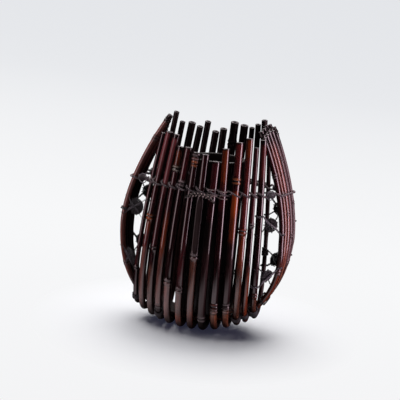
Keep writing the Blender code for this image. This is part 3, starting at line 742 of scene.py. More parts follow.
def evenly(places, pitch, closed=False):
    """The same run with points a pitch apart, and how far along each one is."""
    rows = places + [places[0]] if closed else places
    sofar = lengths_along(rows)
    count = max(2, round(sofar[-1] / pitch))
    wanted = [sofar[-1] * step / count for step in range(count if closed else count + 1)]
    found = [Vector([float(np.interp(at, sofar, [row[axis] for row in rows])) for axis in range(3)])
             for at in wanted]
    return found, wanted, sofar[-1]


def frames_along(places, closed=False):
    """Two ways square to a run at each place, turned as little as can be from one to the next."""
    count = len(places)
    ways = []
    for index in range(count):
        before = places[index - 1] if closed or index > 0 else places[0]
        after = places[(index + 1) % count] if closed or index < count - 1 else places[-1]
        ways.append((after - before).normalized())
    side = ways[0].cross(Vector((0, 0, 1)))
    if side.length < 0.1:
        side = ways[0].cross(Vector((0, 1, 0)))
    side.normalize()
    pairs = []
    for way in ways:
        side = (side - way * side.dot(way)).normalized()
        pairs.append((side.copy(), way.cross(side)))
    return pairs


def one(_):
    """The plain fullness and paleness of a cord, the same at each place."""
    return 1.0


def strand(name, places, radius, closed=False, fullness=one):
    """A round strand along a run of places, as a mesh, thicker where its fullness says so."""
    made = line_object(name, places, closed)
    for point, place in zip(made.data.splines[0].points, places):
        point.radius = fullness(place)
    made.data.bevel_depth = radius
    made.data.bevel_resolution = 1
    made.data.use_fill_caps = not closed
    pick(made)
    bpy.ops.object.convert(target="MESH")
    piece = bpy.context.object
    with whole_mesh(piece):
        bpy.ops.mesh.remove_doubles(threshold=WELD)
    note_values(piece.data, "crest", "FLOAT", np.ones(len(piece.data.vertices)))
    return piece


def cord_piece(name, pieces, finish):
    """Several strands as one finished piece."""
    drop_selection()
    for piece in pieces:
        piece.select_set(True)
    bpy.context.view_layer.objects.active = pieces[0]
    if len(pieces) > 1:
        bpy.ops.object.join()
    made = bpy.context.object
    made.name = name
    made.data.name = name
    smooth(made, 60)
    finished(made, finish, name)


def plied(places, radius, pitch, closed=False):
    """The runs of the two plies that twist round a run to make a cord of this radius."""
    rows, at, length = evenly(round_off(places, closed), radius * 0.7, closed)
    turns = max(1, round(length / pitch))
    pairs = frames_along(rows, closed)
    runs = [[ringed(row, radius / 2, *pair, 2 * pi * (turns * here / length + number / 2))
             for row, here, pair in zip(rows, at, pairs)] for number in range(2)]
    return runs, rows


def tree_of(places):
    """A search tree over a run of places."""
    near = KDTree(len(places))
    for index, place in enumerate(places):
        near.insert(place + STAND_SHIFT, index)
    near.balance()
    return near


def twisted_cord(name, places, radius, pitch=0.005, closed=False, fullness=one, paleness=one):
    """A cord of two twisted plies along a run of places, palest on the crests of its plies, with painted
    shade in the valleys between them.
    """
    runs, middle = plied(places, radius, pitch, closed)
    near = tree_of(middle)
    pieces = []
    for number, run in enumerate(runs):
        piece = strand(f"{name}_ply_{number}", run, radius / 2, closed, fullness)
        crests = []
        for vertex in piece.data.vertices:
            _, index, apart = near.find(vertex.co)
            place = middle[index]
            crests.append(paleness(place) * within(apart / (radius * fullness(place)), *CREST_SHARES))
        piece.data.attributes["crest"].data.foreach_set("value", crests)
        pieces.append(piece)
    return pieces


def band_posts():
    """What the cord twines round, in order round the basket: the centres and the radius."""
    front, back = ([([cane.level(side, BAND_HEIGHT)], cane.radii[side]) for cane in CANES]
                   for side in (-1, 1))
    left, right = ([cane.level(side, BAND_HEIGHT) for cane in STRAP] for side in (-1, 1))
    posts = []
    for wall, strap, next_wall in ((front, right, back[::-1]), (back[::-1], left[::-1], front)):
        posts += wall + open_posts(*wall[-1], strap, STRAP_RADIUS) + [(strap, STRAP_RADIUS)]
        posts += open_posts(strap, STRAP_RADIUS, *next_wall[0])
    return posts


def open_posts(centres, radius, next_centres, next_radius):
    """Two places in the free width between posts, round which the cords still twist."""
    start, end = centres[-1], next_centres[0]
    along = (end - start).normalized()
    return [([(start + along * radius).lerp(end - along * next_radius, share)], 0)
            for share in SPINDLE_TWIST_SHARES]


def sideways(along):
    """The level way out of the basket from a way that goes round it."""
    return Vector((along.y, -along.x, 0)).normalized()


def past_strap(centres, before, after, front, out):
    """Places along the outer side, front 1, or the inner side, front -1, of the strap's canes."""
    outward = sideways(centres[-1] - centres[0])
    first_way, last_way = sideways(centres[0] - before), sideways(after - centres[-1])
    first_turn, last_turn = (first_way + outward).normalized(), (last_way + outward).normalized()
    if front < 0:
        inner = [centre - out * outward for centre in centres[1:-1]]
        return [centres[0] - out * first_turn, *inner, centres[-1] - out * last_turn]
    outer = [centre + out * outward for centre in centres]
    start = [centres[0] + out * first_way, centres[0] + out * first_turn]
    return start + outer + [centres[-1] + out * last_turn, centres[-1] + out * last_way]


# How much fuller and more slanted the band is where it is pulled over a cane, and how much paler it is
# painted there, as painted light on the lumps and painted shade between the canes
BAND_FULL_SHARE = 1.55
BAND_LUMP = 0.9
BAND_LUMP_REACH = 0.0075
BAND_PALENESS = 0.65
BAND_SLANT = 1.8
BAND_CANE_SLANT = 1.98
BAND_CENTRES = [centre for centres, radius in band_posts() if radius for centre in centres]


def band_cord(side):
    """One of the two cords of the band, which pass in front and behind by turns."""
    posts = band_posts()
    lift = TWIST_SHARE * (BAND_CORD_RADIUS + SEAT_GAP / 2)
    places = []
    for index, (centres, radius) in enumerate(posts):
        before = posts[index - 1][0][-1]
        after_centres, after_radius = posts[(index + 1) % len(posts)]
        after = after_centres[0]
        along = (after - before).normalized()
        outward = sideways(along)
        front = side if index % 2 == 0 else -side
        out = (radius + BAND_CORD_RADIUS + SEAT_GAP) * BAND_EASE_SHARE
        if radius == 0:
            places.append(centres[0] + outward * front * lift)
        elif len(centres) == 1:
            for angle in (-pi / 4, 0, pi / 4):
                slope = Vector((0, 0, -front * lift * BAND_CANE_SLANT * sin(angle)))
                places.append(ringed(centres[0], out, outward * front, along, angle) + slope)
        else:
            places += past_strap(centres, before, after, front, out * BAND_EASE_SHARE)
        towards = (after - centres[-1]).normalized()
        crossing = (centres[-1] + towards * radius + after - towards * after_radius) / 2
        crossing.z = BAND_HEIGHT - front * lift * BAND_SLANT
        places.append(crossing)
    return places


def lump_at_canes(place):
    """How much fuller the band is where it is pulled over a cane."""
    nearest = min((place - centre).length for centre in BAND_CENTRES)
    return 1.0 + BAND_LUMP * max(0.0, 1 - (nearest / BAND_LUMP_REACH) ** 2)


def paler_at_canes(place):
    """How much paler the band is painted where it is pulled over a cane: painted light on the lump, and
    painted shade between the canes.
    """
    return BAND_PALENESS + (1 - BAND_PALENESS) * (lump_at_canes(place) - 1.0) / BAND_LUMP


def make_band(finish):
    """The two twined cords at the shoulder, each of two plies, with a lump on every cane."""
    for letter, side in (("a", 1), ("b", -1)):
        name = f"band_cord_{letter}"
        cord_piece(name, twisted_cord(name, band_cord(side), BAND_CORD_RADIUS * BAND_FULL_SHARE, closed=True,
                                      fullness=lump_at_canes, paleness=paler_at_canes), finish)


def braid_places():
    """Points of the middle line of the braid that hangs over the band."""
    places = []
    for place_share, sag_share in zip(BRAID_PLACE_SHARES, BRAID_SAG_SHARES):
        index = BRAID_FIRST_CANE + (0 if place_share < 0 else int(place_share))
        height = BAND_HEIGHT - BRAID_DROP - BRAID_SAG * sag_share
        here, there = CANES[index], CANES[index + 1 if place_share >= 0 else index - 1]
        place = here.level(-1, height).lerp(there.level(-1, height), abs(place_share) % 1)
        widest = max(here.radii[-1], there.radii[-1])
        apart = BAND_CORD_RADIUS + BRAID_RADIUS + SEAT_GAP
        place.y -= (widest + BAND_CORD_RADIUS + SEAT_GAP) * BAND_EASE_SHARE
        place.y -= sqrt(max(apart ** 2 - BRAID_DROP ** 2, 0))
        places.append(place)
    return places


# The strands of the braid, where painted shade on its deeper strands fades out, and how its three loose ends
# lie across two canes
BRAID_STRAND_SHARE = 0.36
BRAID_FULL_SHARE = 1.2
BRAID_PLAIT_LENGTH = 0.0130
BRAID_FRONT_SHARES = (0.3, 0.7)
BRAID_DEPTH_SHARE = 0.75
BRAID_TIP_SHARE = 0.35
BRAID_END_RADIUS = 0.0007
BRAID_END_STOPS = ((7, -1.2), (7, -0.7), (7, 0), (7, 0.8), (8, -0.9), (8, -0.2), (8, 0.6), (8, 1.15))
BRAID_ENDS = ((0.0028, 0.0012, -0.0006), (-0.0030, 0.0008, 0.0010), (-0.0056, 0.0016, -0.0012))


def make_braid(finish):
    """A flat plait of three strands, each of two plies."""
    radius = BRAID_RADIUS * BRAID_STRAND_SHARE
    rows, at, length = evenly(round_off(braid_places()), radius * 0.8)
    pieces = []
    for number in range(3):
        run = []
        for row, here in zip(rows, at):
            turn = 2 * pi * (here / BRAID_PLAIT_LENGTH + number / 3)
            taper = min(1.0, BRAID_TIP_SHARE + min(here, length - here) / (4 * BRAID_RADIUS))
            out = (BRAID_RADIUS - radius) * taper
            deep, high = out * BRAID_DEPTH_SHARE * sin(2 * turn), out * BRAID_FULL_SHARE * sin(turn)
            run.append(row + Vector((0, deep, high)))
        pieces += twisted_cord(f"braid_{number}", run, radius, pitch=0.004)
    # Painted shade on the strands where they lie deep, behind the braid's middle
    near = tree_of(rows)
    for piece in pieces:
        for vertex, crest in zip(piece.data.vertices, piece.data.attributes["crest"].data):
            ahead = near.find(vertex.co)[0].y - vertex.co.y
            crest.value *= within(ahead / BRAID_RADIUS, *BRAID_FRONT_SHARES)
    for number, (lift, first_lift, last_lift) in enumerate(BRAID_ENDS):
        places = []
        for index, share in BRAID_END_STOPS:
            height = BAND_HEIGHT + lift + (first_lift if index == 7 else last_lift) * (0.6 + 0.4 * share)
            clear = CANES[index].radii[-1] + BRAID_END_RADIUS
            out = (clear + SEAT_GAP) * sqrt(max(1 - min(abs(share), 1) ** 2, 0))
            places.append(CANES[index].level(-1, height) + Vector((share * clear, -out, 0)))
        pieces += twisted_cord(f"braid_end_{number}", places, BRAID_END_RADIUS, pitch=0.004)
    cord_piece("shoulder_braid", pieces, finish)


# The corner openings

# The looks of a corner: the paleness of its ties, the share of their slim ends, the side on which the
# second tie of a disc crosses it, the fullness of its discs and of its spindle, and the spindle's crest
CORNER_LOOKS = {"front_left": (0.50, 0.32, 1, 1.32, 0.55, 0.12),
                "front_right": (1.0, 0.75, -1, 1.14, 1, 0.35),
                "back_left": (0.10, 0.80, -1, 1.14, 1, 0.35),
                "back_right": (0.12, 0.85, -1, 1.14, 1, 0.35)}


class Corner:
    """One opening at a corner of the basket, with its edge cane and its strap cane."""

    def __init__(self, name, cane, wall, strap_cane, end):
        self.name, self.cane, self.wall, self.strap_cane, self.end = name, cane, wall, strap_cane, end
        self.radius = cane.radii[wall]
        self.disc_shares = FRONT_DISC_HEIGHT_SHARES if wall < 0 else BACK_DISC_HEIGHT_SHARES
        (self.paleness, self.slim_share, self.second_side, self.disc_fullness, self.spindle_fullness,
         self.spindle_crest) = CORNER_LOOKS[name]

    def edges(self, height):
        """Middles of the edge cane and of the strap cane at a height."""
        return self.cane.level(self.wall, height), self.strap_cane.level(self.end, height)

    def frame(self, height):
        """Level way from the edge cane to the strap, and the way out of the basket."""
        edge, strap = self.edges(height)
        along = (strap - edge).normalized()
        return along, Vector((along.y, -along.x, 0)) * (self.end if self.wall < 0 else -self.end)

    def opening(self, height):
        """The middle of the free width between the two canes, and that width."""
        edge, strap = self.edges(height)
        along, _ = self.frame(height)
        return ((edge + along * self.radius).lerp(strap - along * STRAP_RADIUS, 0.5),
                (strap - edge).length - self.radius - STRAP_RADIUS)


CORNERS = [Corner("front_left", CANES[0], -1, STRAP[0], -1),
           Corner("front_right", CANES[-1], -1, STRAP[0], 1),
           Corner("back_left", CANES[0], 1, STRAP[-1], -1),
           Corner("back_right", CANES[-1], 1, STRAP[-1], 1)]

# The ties, the coiled cord and the sewn ribs of the discs, and the loops of the spindles
TIE_RADIUS_SHARES = (2.0, 1.4)
TIE_PITCH = 0.006
TIE_SLIMMING = 0.006
TIE_CLIMB = 0.0017
TIE_BENDS = [radians(angle) for angle in range(50, 231, 45)]
DISC_CORD_RADIUS = 0.0009
DISC_CORD_STEPS = 22
DISC_RIB_RADIUS = 0.0004
DISC_RIBS = 7
DISC_EYE_SHARE = 0.28
DISC_SHOULDER_SHARE = 0.8
SPINDLE_CORD_RADIUS = 0.0006
SPINDLE_LOOPS = ((0.0062, 0.0022), (-0.0058, 0.0026))
SPINDLE_LOOP_STOPS = ((-1.1, 0.1), (-0.7, 0.75), (-0.1, 1.0), (0.5, 0.8), (1.1, 0.1))


def disc_face(corner, number):
    """The centre of a disc, and the way that it faces."""
    height = BAND_HEIGHT * corner.disc_shares[number]
    along, outward = corner.frame(height)
    face = outward + along * DISC_TURN_SHARES[number]
    face.z = DISC_LEAN_SHARES[number]
    face.normalize()
    return corner.opening(height)[0], face


def make_disc(corner, number, finish):
    """A flat coil of cord, wound in on one face and out on the other, with cords sewn over its rim."""
    centre, face = disc_face(corner, number)
    side = face.cross(Vector((0, 0, 1))).normalized()
    other = face.cross(side)

    def at(out, angle, up):
        return ringed(centre, out, side, other, angle) + face * up

    full = DISC_RADIUS * corner.disc_fullness
    rim = full - DISC_CORD_RADIUS
    turns = rim / (2 * DISC_CORD_RADIUS)
    half = DISC_THICKNESS / 2 - DISC_CORD_RADIUS
    run = []
    steps = round(turns * DISC_CORD_STEPS)
    for step in range(-steps, steps + 1):
        up = half if step > 0 else -half if step < 0 else 0
        run.append(at(max(rim * abs(step) / steps, DISC_CORD_RADIUS / 2), 2 * pi * turns * step / steps, up))
    name = f"{corner.name}_disc_{number + 1}"
    pieces = twisted_cord(name, run, DISC_CORD_RADIUS, pitch=0.0045)
    up = DISC_THICKNESS / 2 + DISC_RIB_RADIUS / 3
    for rib in range(DISC_RIBS):
        angle = 2 * pi * (rib + 0.3 * (rib % 2)) / DISC_RIBS
        shape = ((DISC_EYE_SHARE, up), (DISC_SHOULDER_SHARE, up), (1, up * 0.5),
                 (1, -up * 0.5), (DISC_SHOULDER_SHARE, -up), (DISC_EYE_SHARE, -up))
        loop = [at(full * share, angle, lift) for share, lift in shape]
        pieces.append(strand("rib", round_off(loop, closed=True, steps=3), DISC_RIB_RADIUS, True))
    cord_piece(name, pieces, finish)


def make_tie(corner, number, finish):
    """The two cords that cross at a disc, each from the edge cane to the strap."""
    centre, face = disc_face(corner, number)
    height_share = corner.disc_shares[number]
    along, outward = corner.frame(BAND_HEIGHT * height_share)
    name = f"{corner.name}_tie_{number + 1}"
    heights = [BAND_HEIGHT * (height_share + DISC_CANE_TIE_RISE_SHARES[number]),
               BAND_HEIGHT * (height_share + DISC_STRAP_TIE_RISE_SHARES[number])]
    pieces = []
    for cord, front in enumerate((1, corner.second_side)):
        radius = TIE_RADIUS * TIE_RADIUS_SHARES[cord]
        edge, strap = corner.edges(heights[cord])[0], corner.edges(heights[1 - cord])[1]
        across = strap - edge
        across -= face * across.dot(face)
        across.normalize()
        over = TIE_RADIUS * (1 + front) * cord
        lifted = centre + face * front * (DISC_THICKNESS / 2 + radius + SEAT_GAP + over)
        slim = corner.slim_share * radius
        places = []
        for bend in reversed(TIE_BENDS):
            climb = Vector((0, 0, -TIE_CLIMB * (bend - TIE_BENDS[0]) / (2 * pi)))
            places.append(ringed(edge, corner.radius + slim, along, outward * front, bend) + climb)
        places += [lifted - across * DISC_RADIUS, lifted, lifted + across * DISC_RADIUS]
        for bend in TIE_BENDS[:3]:
            climb = Vector((0, 0, TIE_CLIMB * (bend - TIE_BENDS[0]) / (2 * pi)))
            places.append(ringed(strap, STRAP_RADIUS + slim / 2, -along, outward * front, bend) + climb)

        def slimness(place):
            return within((place - centre).length, DISC_RADIUS, DISC_RADIUS + TIE_SLIMMING)

        def fullness(place):
            return 1.0 - (1 - corner.slim_share) * slimness(place)

        # A cord that crosses behind the disc is painted half as pale, as shade
        def paleness(place):
            return corner.paleness * (1.0 - 0.5 * slimness(place)) * (1.0 if front > 0 else 0.5)

        pieces += twisted_cord(f"{name}_{cord}", places, radius, pitch=TIE_PITCH,
                               fullness=fullness, paleness=paleness)
    cord_piece(name, pieces, finish)


def make_spindle(corner, finish):
    """Cord wound round the band where the band crosses an opening."""
    along, outward = corner.frame(BAND_HEIGHT)
    centre, width = corner.opening(BAND_HEIGHT)
    other = along.cross(outward)
    half = width * SPINDLE_HALF_LENGTH_SHARE
    turns = round(2 * half / (1.9 * SPINDLE_CORD_RADIUS))
    run = []
    for step in range(turns * WRAP_STEPS + 1):
        share = step / (turns * WRAP_STEPS)
        swell = (SPINDLE_RADIUS - SPINDLE_END_RADIUS) * sin(pi * share) ** 0.6
        out = (SPINDLE_END_RADIUS + swell - SPINDLE_CORD_RADIUS) * corner.spindle_fullness
        place = centre + along * (half - SPINDLE_CORD_RADIUS) * (2 * share - 1)
        run.append(ringed(place, out, outward, other, 2 * pi * turns * share))
    name = f"{corner.name}_spindle"
    pieces = [strand(name, run, SPINDLE_CORD_RADIUS)]
    core = pieces[0].data
    core.attributes["crest"].data.foreach_set("value", [corner.spindle_crest] * len(core.vertices))
    for lift, push in SPINDLE_LOOPS:
        loop = [centre + along * half * share + other * lift * rise_share + outward * push
                for share, rise_share in SPINDLE_LOOP_STOPS]
        pieces += twisted_cord(f"{name}_loop", loop, SPINDLE_CORD_RADIUS * 1.3, pitch=0.004)
    cord_piece(name, pieces, finish)


# Windings on single canes and round the strap

def winding(name, cane, side, height, cord_radius, turns, finish):
    """Cord wound round one leg of a cane at a height."""
    low, start, high = (cane.level(side, height + cord_radius * step) for step in (-1, 0, 1))
    axis = (high - low).normalized()
    way = axis.cross(Vector((0, 1, 0))).normalized()
    out = cane.radii[side] + cord_radius + SEAT_GAP / 2
    run = []
    for step in range(turns * WRAP_STEPS + 1):
        climbed = 2 * cord_radius * (step / WRAP_STEPS - turns / 2)
        run.append(ringed(start + axis * climbed, out, way, axis.cross(way), 2 * pi * step / WRAP_STEPS))
    cord_piece(name, [strand(name, run, cord_radius)], finish)


def strap_loop(side, height, turns, pitch):
    """A cord that goes round the whole strap more than once."""
    centres = [cane.level(side, height) for cane in STRAP]
    low, high = (STRAP[len(STRAP) // 2].level(side, height + STRAP_WRAP_RADIUS * step) for step in (-1, 1))
    along = (centres[-1] - centres[0]).normalized()
    upward = (high - low).normalized()
    outward = along.cross(high - low).normalized()
    out = STRAP_RADIUS + STRAP_WRAP_RADIUS + SEAT_GAP
    places = []
    for turn in range(turns):
        for end, half_turn in ((centres[-1], 0), (centres[0], 1)):
            for step in range(-2, 3):
                climbed = upward * pitch * (turn + half_turn / 2 + step / 10 - turns / 2)
                places.append(ringed(end, out, along, outward, pi * half_turn + pi / 4 * step) + climbed)
    return places


FOOT_WRAP_RADIUS_SHARES = (1.7, 1.7, 1.7, 1.7, 2.2)


def make_wraps(finish):
    """The small windings near the feet, on the right back edge cane and round the strap."""
    for number, radius_share in zip(FOOT_WRAP_CANES, FOOT_WRAP_RADIUS_SHARES):
        name = f"foot_wrap_{number:02d}"
        box_low, box_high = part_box(name)
        winding(name, CANES[number - 1], -1, (box_low.z + box_high.z) / 2, FOOT_WRAP_RADIUS * radius_share,
                FOOT_WRAP_TURNS + 1, finish)
    winding("edge_wrap", CANES[-1], 1, CROWN_HEIGHT * EDGE_WRAP_HEIGHT_SHARE, STRAP_WRAP_RADIUS,
            EDGE_WRAP_TURNS, finish)
    for word, side, share in zip(("left", "right"), (-1, 1), STRAP_WRAP_HEIGHT_SHARES):
        name = f"strap_wrap_{word}"
        places = strap_loop(side, STRAP_CROWN_HEIGHT * share, 2, 2 * STRAP_WRAP_RADIUS)
        cord_piece(name, twisted_cord(name, places, STRAP_WRAP_RADIUS), finish)


# The tube's wall, the height of its floor, and its rounded edges as steps of TUBE_EDGE
TUBE_WALL = 0.0035
TUBE_FLOOR = 0.007
TUBE_EDGE = 0.0012
TUBE_FOOT_CURVE = ((0, 2), (0.3, 0.6), (1, 0.1), (2, 0))
TUBE_RIM_CURVE = ((2, 0), (0.6, 0.15), (0.15, 0.6), (0, 1.2))
TUBE_MOUTH_CURVE = ((0, 1), (0.2, 0.4), (0.8, 0))
TUBE_FLOOR_CURVE = ((2, 0), (0.6, 0.5), (0, 2))


def make_water_tube(finish):
    """The black tube, with a turned rim and the floor of its bore inside."""
    low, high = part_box("water_tube")
    radius = (high.x - low.x) / 2
    height = high.z - low.z
    edge = TUBE_EDGE
    bore = radius - TUBE_WALL
    depth = height - TUBE_FLOOR - 3 * edge
    outline = [(0, 0)] + [(up * edge, radius - inward * edge) for up, inward in TUBE_FOOT_CURVE]
    outline += [(2 * edge + (height - 4 * edge) * step / 24, radius) for step in range(1, 24)]
    outline += [(height - down * edge, radius - inward * edge) for down, inward in TUBE_RIM_CURVE]
    outline += [(height - down * edge, bore + outward * edge) for down, outward in TUBE_MOUTH_CURVE]
    outline += [(height - edge * 0.8 - depth * step / 16, bore) for step in range(1, 16)]
    outline += [(TUBE_FLOOR + up * edge, bore - inward * edge) for up, inward in TUBE_FLOOR_CURVE]
    outline += [(TUBE_FLOOR + edge * 0.5, radius * 0.4), (TUBE_FLOOR + edge * 0.6, 0)]
    piece = turned("water_tube", outline, 72, (0, 0, 1))
    note_values(piece.data, "grain", "FLOAT_VECTOR", rows_of(piece.data.vertices, "co")[:, [2, 0, 1]])
    pick(piece)
    bpy.ops.transform.translate(value=((low.x + high.x) / 2, (low.y + high.y) / 2, low.z))
    bpy.ops.object.transform_apply(location=True)
    smooth(piece, 50)
    return finished(piece, finish, "water_tube", body="tube")


# Finishes

class Nodes:
    """A node tree with short calls to add and join its nodes."""

    def __init__(self, tree):
        self.tree = tree

    def feed(self, node, inputs):
        """Set a node's inputs, by name or number, to values or to other nodes' outputs."""
        for label, value in inputs.items():
            socket = node.inputs[label]
            if isinstance(value, bpy.types.NodeSocket):
                self.tree.links.new(value, socket)
            elif socket.type == "RGBA":
                socket.default_value = (*value[:3], 1.0)
            else:
                socket.default_value = value
        return node

    def add(self, kind, inputs=None, **settings):
        """A new node with its settings, and its inputs fed."""
        node = self.tree.nodes.new(kind)
        for name, value in settings.items():
            setattr(node, name, value)
        return self.feed(node, inputs or {})

    def value_of(self, name):
        """What the meshes' attribute of a name says, as a node."""
        return self.add("ShaderNodeAttribute", attribute_name=name)

    def noise(self, vector, scale, detail, roughness):
        """Grey noise over a vector stretched by a scale for each axis."""
        stretched = self.add("ShaderNodeMapping", {"Vector": vector, "Scale": scale}).outputs["Vector"]
        inputs = {"Vector": stretched, "Scale": 1.0, "Detail": detail, "Roughness": roughness}
        return self.add("ShaderNodeTexNoise", inputs).outputs["Fac"]

    def between(self, value, low, high, to_low=0.0, to_high=1.0):
        """A value's range moved to another range and kept within it."""
        inputs = {"Value": value, "From Min": low, "From Max": high, "To Min": to_low, "To Max": to_high}
        return self.add("ShaderNodeMapRange", inputs, clamp=True).outputs["Result"]

    def math(self, operation, first, second):
        return self.add("ShaderNodeMath", {0: first, 1: second}, operation=operation).outputs[0]

    def mix(self, share, first, second, blend="MIX"):
        inputs = {0: share, 6: first, 7: second}
        return self.add("ShaderNodeMix", inputs, data_type="RGBA", blend_type=blend).outputs[2]


def new_group(name, inputs, outputs):
    """An empty shader node group with its sockets, and the nodes inside it."""
    group = bpy.data.node_groups.new(name, "ShaderNodeTree")
    for label, kind, value in inputs:
        socket = group.interface.new_socket(name=label, in_out="INPUT", socket_type=kind)
        if value is not None:
            socket.default_value = value
    for label, kind in outputs:
        group.interface.new_socket(name=label, in_out="OUTPUT", socket_type=kind)
    nodes = Nodes(group)
    return group, nodes, nodes.add("NodeGroupInput"), nodes.add("NodeGroupOutput")


def cane_skin_group():
    """Fibres, mottling and worn polish of a smoked cane, along its own length."""
    group, nodes, given, out = new_group(
        "cane_skin",
        [("Fibre", "NodeSocketFloat", 0.5), ("Mottle", "NodeSocketFloat", 0.5),
         ("Shine", "NodeSocketFloat", 0.2)],
        [("Color", "NodeSocketColor"), ("Roughness", "NodeSocketFloat"), ("Polish", "NodeSocketFloat"),
         ("Height", "NodeSocketFloat")])
    stain = nodes.value_of("stain")
    grain = nodes.value_of("grain").outputs["Vector"]
    fibres = nodes.noise(grain, (22.0, 1500.0, 1500.0), 4.0, 0.6)
    streaks = nodes.noise(grain, (9.0, 420.0, 420.0), 3.0, 0.5)
    clouds = nodes.noise(grain, (55.0, 160.0, 160.0), 4.0, 0.6)
    specks = nodes.noise(grain, (500.0, 1300.0, 1300.0), 2.0, 0.5)
    shade = nodes.math("MULTIPLY", nodes.between(fibres, 0.3, 0.7, 0.6, 1.5),
                       nodes.between(streaks, 0.3, 0.7, 0.5, 1.6))
    shade = nodes.mix(given.outputs["Fibre"], (1.0, 1.0, 1.0), shade)
    toned = nodes.mix(1.0, stain.outputs["Color"], shade, "MULTIPLY")
    cloud_share = nodes.math("MULTIPLY", nodes.between(clouds, 0.52, 0.75), given.outputs["Mottle"])
    speck_share = nodes.math("MULTIPLY", nodes.between(specks, 0.66, 0.74), 0.6)
    toned = nodes.mix(speck_share, nodes.mix(cloud_share, toned, BLACK), BLACK)
    worn = nodes.math("ADD", given.outputs["Shine"], nodes.between(clouds, 0.35, 0.7, 0.0, 0.10))
    worn = nodes.math("ADD", worn, nodes.between(fibres, 0.3, 0.7, 0.0, 0.06))
    matte = nodes.math("MULTIPLY", nodes.math("SUBTRACT", 1.0, stain.outputs["Alpha"]), 0.45)
    ridges = nodes.math("ADD", nodes.math("MULTIPLY", fibres, 0.5), nodes.math("MULTIPLY", streaks, 0.5))
    nodes.feed(out, {"Color": toned, "Roughness": nodes.math("ADD", worn, matte),
                     "Polish": stain.outputs["Alpha"], "Height": ridges})
    return group


def new_finish(name, **inputs):
    """A material with its nodes and its shader, whose inputs are named with _ for each space."""
    material = bpy.data.materials.new(name)
    material.use_nodes = True
    nodes = Nodes(material.node_tree)
    shader = material.node_tree.nodes["Principled BSDF"]
    nodes.feed(shader, {label.replace("_", " "): value for label, value in inputs.items()})
    return material, nodes, shader


def bumped(nodes, height, distance):
    """The normal of a surface with this height, in metres, as a bump."""
    inputs = {"Height": height, "Distance": distance, "Strength": 1.0}
    return nodes.add("ShaderNodeBump", inputs).outputs["Normal"]


def cane_finish(name, group, fibre, mottle, shine, coat_roughness):
    """Lacquered smoked bamboo."""
    material, nodes, shader = new_finish(
        name, Coat_Roughness=coat_roughness, Coat_IOR=1.8, Specular_IOR_Level=0.35,
        Specular_Tint=(1.0, 0.62, 0.60))
    skin = nodes.add("ShaderNodeGroup", node_tree=group)
    nodes.feed(skin, {"Fibre": fibre, "Mottle": mottle, "Shine": shine})
    nodes.feed(shader, {"Base Color": skin.outputs["Color"], "Roughness": skin.outputs["Roughness"],
                        "Coat Weight": skin.outputs["Polish"],
                        "Normal": bumped(nodes, skin.outputs["Height"], 0.00002)})
    return material


def cord_finish(name, dark, light, roughness):
    """Split vine, in fine fibres with paler and darker stretches, and painted shade where its crest value is
    low.
    """
    material, nodes, shader = new_finish(name)
    place = nodes.add("ShaderNodeTexCoord").outputs["Object"]
    fibres = nodes.noise(place, (900.0, 900.0, 900.0), 4.0, 0.65)
    stretches = nodes.noise(place, (160.0, 160.0, 160.0), 2.0, 0.5)
    share = nodes.math("MULTIPLY", nodes.between(fibres, 0.35, 0.65, 0.4, 1.0),
                       nodes.between(stretches, 0.3, 0.7, 0.4, 1.0))
    crest = nodes.math("POWER", nodes.value_of("crest").outputs["Fac"], 1.6)
    nodes.feed(shader, {"Base Color": nodes.mix(nodes.math("MULTIPLY", share, crest), dark, light),
                        "Roughness": nodes.between(fibres, 0.3, 0.7, roughness - 0.1, roughness + 0.12),
                        "Normal": bumped(nodes, fibres, 0.00015)})
    return material


def tube_finish():
    """Black lacquer over bamboo, with a paler band painted along the rim as a highlight."""
    material, nodes, shader = new_finish("tube_lacquer", Specular_IOR_Level=0.3)
    grain = nodes.value_of("grain").outputs["Vector"]
    fibres = nodes.noise(grain, (14.0, 700.0, 700.0), 4.0, 0.6)
    clouds = nodes.noise(grain, (40.0, 60.0, 60.0), 3.0, 0.5)
    low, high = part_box("water_tube")
    tall = high.z - low.z
    heights = nodes.add("ShaderNodeSeparateXYZ", {"Vector": grain}).outputs["X"]
    # A paler band at the top of the rim, a painted highlight
    rim = nodes.math("MULTIPLY", nodes.between(heights, tall - 0.0016, tall - 0.0002), 0.8)
    colour = nodes.mix(nodes.between(fibres, 0.35, 0.7), (0.004, 0.003, 0.003), (0.018, 0.011, 0.010))
    nodes.feed(shader, {"Base Color": nodes.mix(rim, colour, (0.090, 0.078, 0.075)),
                        "Roughness": nodes.between(clouds, 0.3, 0.7, 0.22, 0.42),
                        "Normal": bumped(nodes, fibres, 0.0001)})
    return material


# The room

LENS = 103.4
CAMERA_AWAY = 1.5
CAMERA_TURN = radians(12)
CAMERA_LIFT = radians(12.3)
CAMERA_ROLL = radians(5.3)
LOOKED_AT = Vector((-0.00776, 0, 0.1686))


def make_camera():
    """The camera at the photograph's angle, rolled as the basket leans in it."""
    back = Vector((sin(CAMERA_TURN) * cos(CAMERA_LIFT), -cos(CAMERA_TURN) * cos(CAMERA_LIFT),
                   sin(CAMERA_LIFT)))
    level_right = (-back).cross(Vector((0, 0, 1))).normalized()
    level_up = back.cross(level_right)
    right = level_right * cos(CAMERA_ROLL) + level_up * sin(CAMERA_ROLL)
    up = level_up * cos(CAMERA_ROLL) - level_right * sin(CAMERA_ROLL)
    data = bpy.data.cameras.new("camera")
    data.lens = LENS
    data.clip_end = 50
    camera = placed("camera", data)
    camera.matrix_world = Matrix((right, up, back)).transposed().to_4x4()
    camera.location = LOOKED_AT + back * CAMERA_AWAY
    bpy.context.scene.camera = camera


def make_lamp(name, place, aim, size, power, colour=(1, 1, 1)):
    """A soft box that looks at a point."""
    data = bpy.data.lights.new(name, "AREA")
    data.shape = "RECTANGLE"
    data.size, data.size_y = size
    data.energy = power
    data.color = colour
    lamp = placed(name, data)
    lamp.location = place
    lamp.rotation_mode = "QUATERNION"
    lamp.rotation_quaternion = (Vector(aim) - Vector(place)).to_track_quat("-Z", "Y")
    lamp.visible_camera = False
    return lamp


